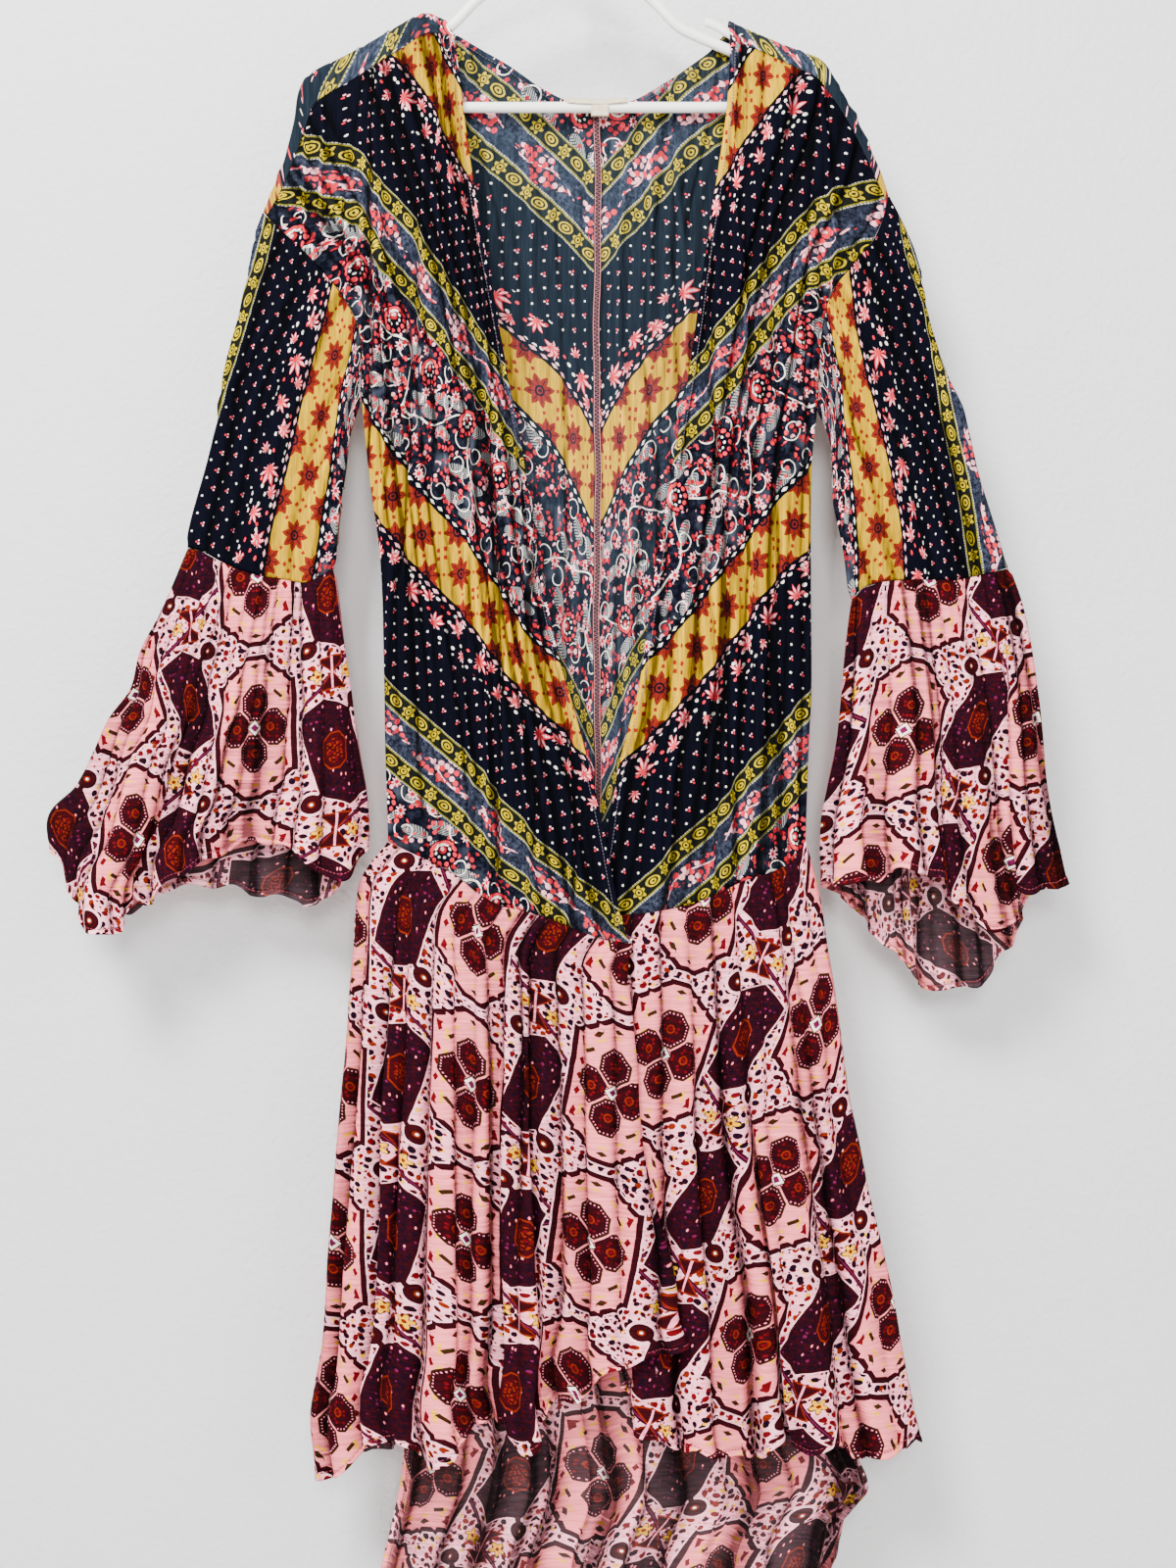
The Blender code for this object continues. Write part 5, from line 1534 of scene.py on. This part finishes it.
name = "skirt_back"
grid, train = sheets[name], sheets["train"]
away, beside = from_hem(grid)
away[:, first:last + 1] = FAR
shaped = within_depth(raised(grid, reliefs[name] * edge_fade(grid, 6, "start", "left", "right")))
across, below, above_hem = run_length(train, 1), run_length(train, 0), run_length(train, 0, True)
train_away = np.minimum.reduce([across, run_length(train, 1, True), above_hem])
train_beside = np.where(above_hem <= train_away, across, below)
relief = reliefs["train"] + hem_wave(107, train_beside, train_away, 1.4) * smoothstep(below / 25)
train = raised(train, relief)
train = within_depth(dropped(train, 117, run_length(train, 1), above_hem, 3.8))
train[0] = shaped[-1, first:last + 1]
made[name] = cloth_piece(name, "skirt", [(shaped, prints[name], away, beside, shades[name]),
                                         (train, prints["train"], train_away, train_beside, shades["train"])],
                         welded=np.arange(first, last + 1))

# %% [markdown]
# ## Middle seam of the back
#
# The two backs are joined down the middle, and the seam's edges are overlocked together and stand out inside,
# where the open front shows them. It is a narrow tape of cloth with real thread round it: a zigzag over
# the tape and two straight rows, each a thin tube along a path.

# %% Tape, thread and their cloth
def ribbon_piece(name, grid, material, thickness):
    place = np.dstack([run_length(grid, 1), run_length(grid, 0)]).reshape(-1, 2)
    quads = grid_quads(grid_numbers(grid))[:, [0, 3, 2, 1]]
    piece = new_sheet(name, grid.reshape(-1, 3), quads, place, material)
    give_wall(piece, thickness)
    return piece


def thread_piece(name, runs, radius, material):
    """Thread along lists of points, in millimetres, as one mesh of thin tubes."""
    curve = bpy.data.curves.new(name, "CURVE")
    curve.dimensions = "3D"
    curve.bevel_depth = radius * MM
    curve.bevel_resolution = 1
    for points in runs:
        path = curve.splines.new("POLY")
        path.points.add(len(points) - 1)
        for knot, point in zip(path.points, points):
            knot.co = (*(np.array(point) * MM), 1)
    guide = bpy.data.objects.new(name, curve)
    scene.collection.objects.link(guide)
    only(guide)
    bpy.ops.object.convert(target="MESH")
    guide.data.materials.append(material)
    guide.data.shade_smooth()
    return guide


def woven_skin(tree, colour, size):
    """Plain woven tape or thread, with its threads and a little unevenness."""
    spot = add_node(tree, "TexCoord", output="Object")
    x, y, z = parted(spot)
    weave = (x * (6.283 / (size * MM))).sine() * (z * (6.283 / (size * MM))).sine()
    patch = cloud(scaled(spot, (1000, 1000, 1000)), 3.0, 2.0)
    tone = 0.9 + weave * 0.1 + (patch - 0.5) * 0.5
    base = add_node(tree, "RGB")
    base.socket.default_value = colour
    return {"Base Color": scaled(base, joined(tone, tone, tone)), "Roughness": 0.75 + patch * 0.2,
            "Normal": bumped(tree, weave + patch * 0.5, 0.5, 0.0002), "Specular IOR Level": 0.2}


tape_material, thread_material, label_material = (
    new_material(name, lambda tree: woven_skin(tree, colour, size)) for name, colour, size in
    (("overlocked_edge", dye(52, 38, 46), 1.2), ("overlock_thread", dye(222, 142, 140), 0.5),
     ("woven_label", dye(226, 210, 180), 0.9)))
print("woven:", tape_material.name, thread_material.name, label_material.name)

# %% Overlocked seam
SEAM_WIDTH = 5.6
SEAM_TOP, SEAM_FOOT = 214.0, 862.0


def back_depth(h):
    """Depth of the middle of the back at a height, from the coarse back panel."""
    edge = grids["back_left"][:, -1]
    return np.interp(h, -edge[::-1, 2], edge[::-1, 1])


heights = np.arange(SEAM_TOP, SEAM_FOOT, 4.0)
wander = 0.7 * np.sin(heights / 37) + 0.4 * np.sin(heights / 13)
rows = [[(CENTRE_X + w + SEAM_WIDTH * across, back_depth(h) - 1.5 - 0.5 * math.cos(across * math.pi), -h)
         for across in (-0.5, -0.25, 0, 0.25, 0.5)] for h, w in zip(heights, wander)]
tape = ribbon_piece("middle_seam", np.array(rows), tape_material, 0.7)
zigzag, left_row, right_row = [], [], []
for step, h in enumerate(np.arange(SEAM_TOP + 1, SEAM_FOOT - 1, 1.6)):
    w = np.interp(h, heights, wander) + CENTRE_X
    y = back_depth(h) - 2.3
    zigzag.append((w + SEAM_WIDTH * (0.46 if step % 2 else -0.30), y - 0.1, -h))
    left_row.append((w - SEAM_WIDTH * 0.32 + 0.12 * (-1) ** step, y - 0.35, -h))
    right_row.append((w + SEAM_WIDTH * 0.47, y + 0.1 + 0.15 * (-1) ** step, -h))
threads = thread_piece("middle_seam_thread", [zigzag, left_row, right_row], 0.24, thread_material)
for piece in (tape, threads):
    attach(piece, "root")
print("seam threads:", len(threads.data.polygons), "faces")

# %% [markdown]
# ## Hanger
#
# The hanger is one moulding of white plastic tube. Its loop, its strap notches and its hook are thin
# curves first, given their round section with a bevel, and made a mesh. A voxel remesh then melts the
# crossing tubes into one skin, which leaves the soft fillets that a moulding has.

# %% Hanger tubes
TUBE_R, NOTCH_R, HOOK_R, TIP_R = 4.4, 3.7, 3.5, 10.5
BAR_Z, NECK_Z, HALF = -212.8, -92.0, 206.6
HOOK_BEND = 23.5


def arc(centre_x, centre_z, radius, start, stop, steps):
    return [(centre_x + radius * math.cos(angle), centre_z + radius * math.sin(angle))
            for angle in np.radians(np.linspace(start, stop, steps + 1))]


def tube(name, points, radius, closed=False):
    """A round tube on a smooth path through x, z points."""
    bpy.ops.curve.primitive_bezier_curve_add(location=(0, 0, 0))
    bpy.context.object.name = name
    curve = bpy.context.object.data
    curve.splines.clear()
    path = curve.splines.new("NURBS")
    path.points.add(len(points) - 1)
    for knot, (x, z) in zip(path.points, points):
        knot.co = (x * MM, 0, z * MM, 1)
    path.order_u = 4
    path.use_endpoint_u = True
    path.use_cyclic_u = closed
    curve.resolution_u = 8
    curve.bevel_depth = radius * MM
    curve.bevel_resolution = 4
    curve.use_fill_caps = True
    bpy.ops.object.convert(target="MESH")
    return bpy.context.object


half = [(0, NECK_Z), (18, -97), (36, -104), (62, -116), (78, -130), (92, -147), (106, -154)]
half += arc(HALF - TIP_R, BAR_Z + TIP_R, TIP_R, 67, -90, 8)
half += [(150, BAR_Z), (100, BAR_Z), (50, BAR_Z)]
loop = half + [(0, BAR_Z)] + [(-x, z) for x, z in half[:0:-1]]
stem = [(0, NECK_Z - 2), (0, -84), (0, -72), (0, -60), (-2, -52), (-9, -45), (-17.5, -38)]
stem += arc(0, HOOK_R - HOOK_BEND, HOOK_BEND, 205, -25, 18)
notch = [(115, -143), (121, -144), (128, -148), (139, -154.5), (150, -163.5), (161, -176.6)]
bpy.ops.object.select_all(action="DESELECT")
tubes = [tube("hanger_plastic", loop, TUBE_R, True), tube("hook", stem, HOOK_R)]
tubes += [tube("notch", [(way * x, z) for x, z in notch], NOTCH_R) for way in (-1, 1)]
bpy.ops.mesh.primitive_cone_add(vertices=32, radius1=6.6 * MM, radius2=5.0 * MM, depth=24 * MM,
                                location=(0, 0, (NECK_Z + 8) * MM))
tubes.append(bpy.context.object)
only(tubes[0])
for part in tubes:
    part.select_set(True)
bpy.ops.object.join()
hanger = bpy.context.object
bpy.ops.object.transform_apply(location=True, rotation=True, scale=True)
hanger.data.remesh_voxel_size = 0.9 * MM
bpy.ops.object.voxel_remesh()
relax = hanger.modifiers.new("soften", "SMOOTH")
relax.factor, relax.iterations = 0.5, 4
bpy.ops.object.modifier_apply(modifier="soften")
hanger.data.shade_smooth()
print("hanger:", len(hanger.data.polygons), "faces, box", (np.array(hanger.dimensions) / MM).round(1))

# %% [markdown]
# The plastic is smooth and glossy, with faint flow marks, rubbed spots where it has hung on rails,
# and a thin parting line all round the middle of the tube, where the two halves of the mould met.

# %% Moulded plastic
group, place, base = new_group("moulded plastic", Place="Vector", Base="Color")
_, y, _ = parted(place)
flow = cloud(scaled(place, (1000, 1000, 1000)), 30, 2.0)
rub = cloud(scaled(place, (300, 1000, 1000)), 4.0, 3.0, 0.7)
parting = abs(y).below(0.00016)
colour = paint(base, (flow - 0.45) * 0.6, dye(226, 224, 214), (rub - 0.62) * 1.4, dye(196, 192, 182),
               parting * 0.25, dye(170, 168, 160))
close_group(group, Colour=colour, Roughness=0.24 + (rub - 0.4).at_least(0.0) * 0.9,
            Height=flow * 0.3 + rub * 0.2 + parting * 0.6)
plastic = new_material("white_plastic", lambda tree: skin_of(
    tree, "moulded plastic", 0.25, 0.0003, Base=dye(250, 249, 242)))
hanger.data.materials.clear()
hanger.data.materials.append(plastic)
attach(hanger, "root")
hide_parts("hanger")

# %% [markdown]
# ## Label and size tag
#
# A blank cream label is sewn inside the neck and falls forward over the bar. A small blank tag
# comes from under it and hangs in front. Both are plain woven tape.

# %% Label and tag
LABEL_PATH = [(7.0, -203.4), (4.4, -205.0), (2.2, -206.3), (0, -207.1), (-2.2, -207.5), (-4.3, -209.2),
              (-5.6, -212.0)]
TAG_ROLL = 4.95

low, high = (np.array(corner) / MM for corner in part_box("neck_label"))
across = np.linspace(low[0] + 0.2, high[0] - 0.2, 34)
bow = 1.6 * np.linspace(-1, 1, 34) ** 2
label = np.array([[(x, y + 0.2 * math.sin(x / 4), z + rise) for x, rise in zip(across, bow)]
                  for y, z in along(np.array(LABEL_PATH), np.linspace(0, 1, 14))])
label_piece = ribbon_piece("neck_label_tape", label, label_material, 0.55)
low, high = (np.array(corner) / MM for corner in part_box("size_tag"))
over = [(TAG_ROLL, z) for z in np.linspace(low[2] + 3, BAR_Z, 7)[:-1]] + arc(0, BAR_Z, TAG_ROLL, 0, 180, 14)
over += [(-TAG_ROLL - 0.15 * math.sin(step), z)
         for step, z in enumerate(np.linspace(BAR_Z, low[2] + 0.3, 9)[1:])]
tag = np.array([[(x, y, z) for x in np.linspace(low[0] + 0.3, high[0] - 0.3, 12)] for y, z in over])
tag_piece = ribbon_piece("size_tag_tape", tag, label_material, 0.45)
for piece, node in ((label_piece, "neck_label"), (tag_piece, "size_tag")):
    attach(piece, "root")
    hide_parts(node)
    print(piece.name, len(piece.data.polygons), "faces")

# %% [markdown]
# ## Cut sizes
#
# Each piece of cloth was cut flat before it was sewn: its width, all round on a sleeve or flounce,
# its length, and the area of the shape inside that rectangle. These are sizes of the cloth as it
# shows, with its crinkle; what the gathers and pleats hide is extra.

# %% Cloth pieces and their areas
CUTS = {
    # piece: width, length, area, what it hangs from or lies on, pieces on it
    "front_left": (0.24, 0.76, 0.115, ["hanger_plastic"], []),
    "front_right": (0.21, 0.73, 0.101, ["hanger_plastic"], []),
    "back_left": (0.39, 0.76, 0.153, ["hanger_plastic"], [tape, threads]),
    "back_right": (0.34, 0.74, 0.142, ["hanger_plastic"], []),
    "sleeve_left": (0.37, 0.28, 0.061, ["front_left_cloth", "back_left_cloth"], []),
    "sleeve_right": (0.39, 0.32, 0.065, ["front_right_cloth", "back_right_cloth"], []),
    "flounce_left": (0.81, 0.33, 0.125, ["sleeve_left_cloth"], []),
    "flounce_right": (0.70, 0.34, 0.116, ["sleeve_right_cloth"], []),
    "skirt_front": (1.09, 0.53, 0.317, ["front_left_cloth", "front_right_cloth"], []),
    "skirt_back": (0.68, 0.72, 0.358, ["back_left_cloth", "back_right_cloth"], [])}


def cloth_area(piece):
    """Area of one face of the cloth, in square metres."""
    areas = np.empty(len(piece.data.polygons))
    piece.data.polygons.foreach_get("area", areas)
    return areas.sum() / 2


for name, (wide, long, area, holders, extras) in CUTS.items():
    piece = made[name]
    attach(piece, "root")
    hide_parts(name)
    "skirt" if "skirt" in name or "flounce" in name else "bodice"
    print(name, "cut", area, "square metres, hangs with", round(cloth_area(piece), 4))
for piece in (label_piece, tag_piece):
    box = np.array([corner[:] for corner in piece.bound_box])
    print(piece.name, "area", round(cloth_area(piece), 6), "box", (np.ptp(box, axis=0) / MM).round(1))
print("all the cloth:", round(sum(cloth_area(piece) for piece in made.values()), 2), "square metres")

# %% [markdown]
# ## Wall, floor and light
#
# A photographer hangs such a dress flat against a pale wall and lights it softly from one side, so that
# the folds show. The wall is plaster with a fine peel. It can be looked through from its back, and it
# throws no shadow, so that the back of the dress can be seen too.

# %% Stage
def wall_skin(tree):
    """Light plaster, finely peeled, with a few brighter specks."""
    plaster = add_node(tree, "TexCoord", output="Object")
    peel = cloud(plaster, 0.006, 2.0) + cloud(plaster, 0.03, 2.0) * 0.8
    colour = paint((0.74, 0.74, 0.735, 1), (cloud(plaster, 0.25, 2.0) - 0.4) * 0.5, (0.66, 0.67, 0.68, 1),
                   cloud(plaster, 0.004, 1.0).above(0.79) * 0.5, (0.86, 0.86, 0.85, 1))
    return {"Base Color": colour, "Roughness": 0.9, "Normal": bumped(tree, peel, 0.8, 0.0016)}


bpy.ops.object.select_all(action="DESELECT")
bpy.ops.mesh.primitive_plane_add(size=6, location=(0, 0, -1.56))
floor = bpy.context.object
floor.name = "floor"
floor.data.materials.append(new_material("floor", lambda tree: {"Base Color": (0.72, 0.71, 0.69, 1),
                                                                "Roughness": 0.8}))
bpy.ops.mesh.primitive_plane_add(size=5, location=(0, 0.075, -0.5), rotation=(math.radians(90), 0, 0))
wall = bpy.context.object
wall.name = "wall"
wall.data.materials.append(new_material("wall", wall_skin))
wall.visible_shadow = False
tree = wall.data.materials[0].node_tree
clear = tree.nodes.new("ShaderNodeBsdfTransparent")
mix = tree.nodes.new("ShaderNodeMixShader")
geometry = tree.nodes.new("ShaderNodeNewGeometry")
tree.links.new(geometry.outputs["Backfacing"], mix.inputs[0])
tree.links.new(tree.nodes["Principled BSDF"].outputs[0], mix.inputs[1])
tree.links.new(clear.outputs[0], mix.inputs[2])
tree.links.new(mix.outputs[0], tree.nodes["Material Output"].inputs[0])
print("wall", round(wall.location.y / MM), "mm behind the hanger")

# %% Lamps and sky
LAMPS = {
    # name: place, aim, size, watts
    "key": ((-0.95, -1.9, 1.15), (0, 0, -0.5), 0.9, 190),
    "front": ((0.1, -2.5, -0.1), (0, 0, -0.75), 0.6, 48),
    "fill": ((1.8, -2.1, 0.1), (0, 0, -0.8), 1.8, 32),
    "rear": ((0.3, 2.2, 0.2), (0, 0, -0.8), 2.0, 30),
}
for name, (place, aim, size, watts) in LAMPS.items():
    bpy.ops.object.light_add(type="AREA", location=place)
    lamp = bpy.context.object
    lamp.name = name
    lamp.data.size = size
    lamp.data.energy = watts
    lamp.rotation_euler = (Vector(aim) - Vector(place)).to_track_quat("-Z", "Y").to_euler()
world = bpy.data.worlds.new("studio")
scene.world = world
world.use_nodes = True
put_all(world.node_tree.nodes["Background"].inputs, {"Color": (0.9, 0.93, 1.0, 1), "Strength": 0.42})
print("lamps:", ", ".join(LAMPS))
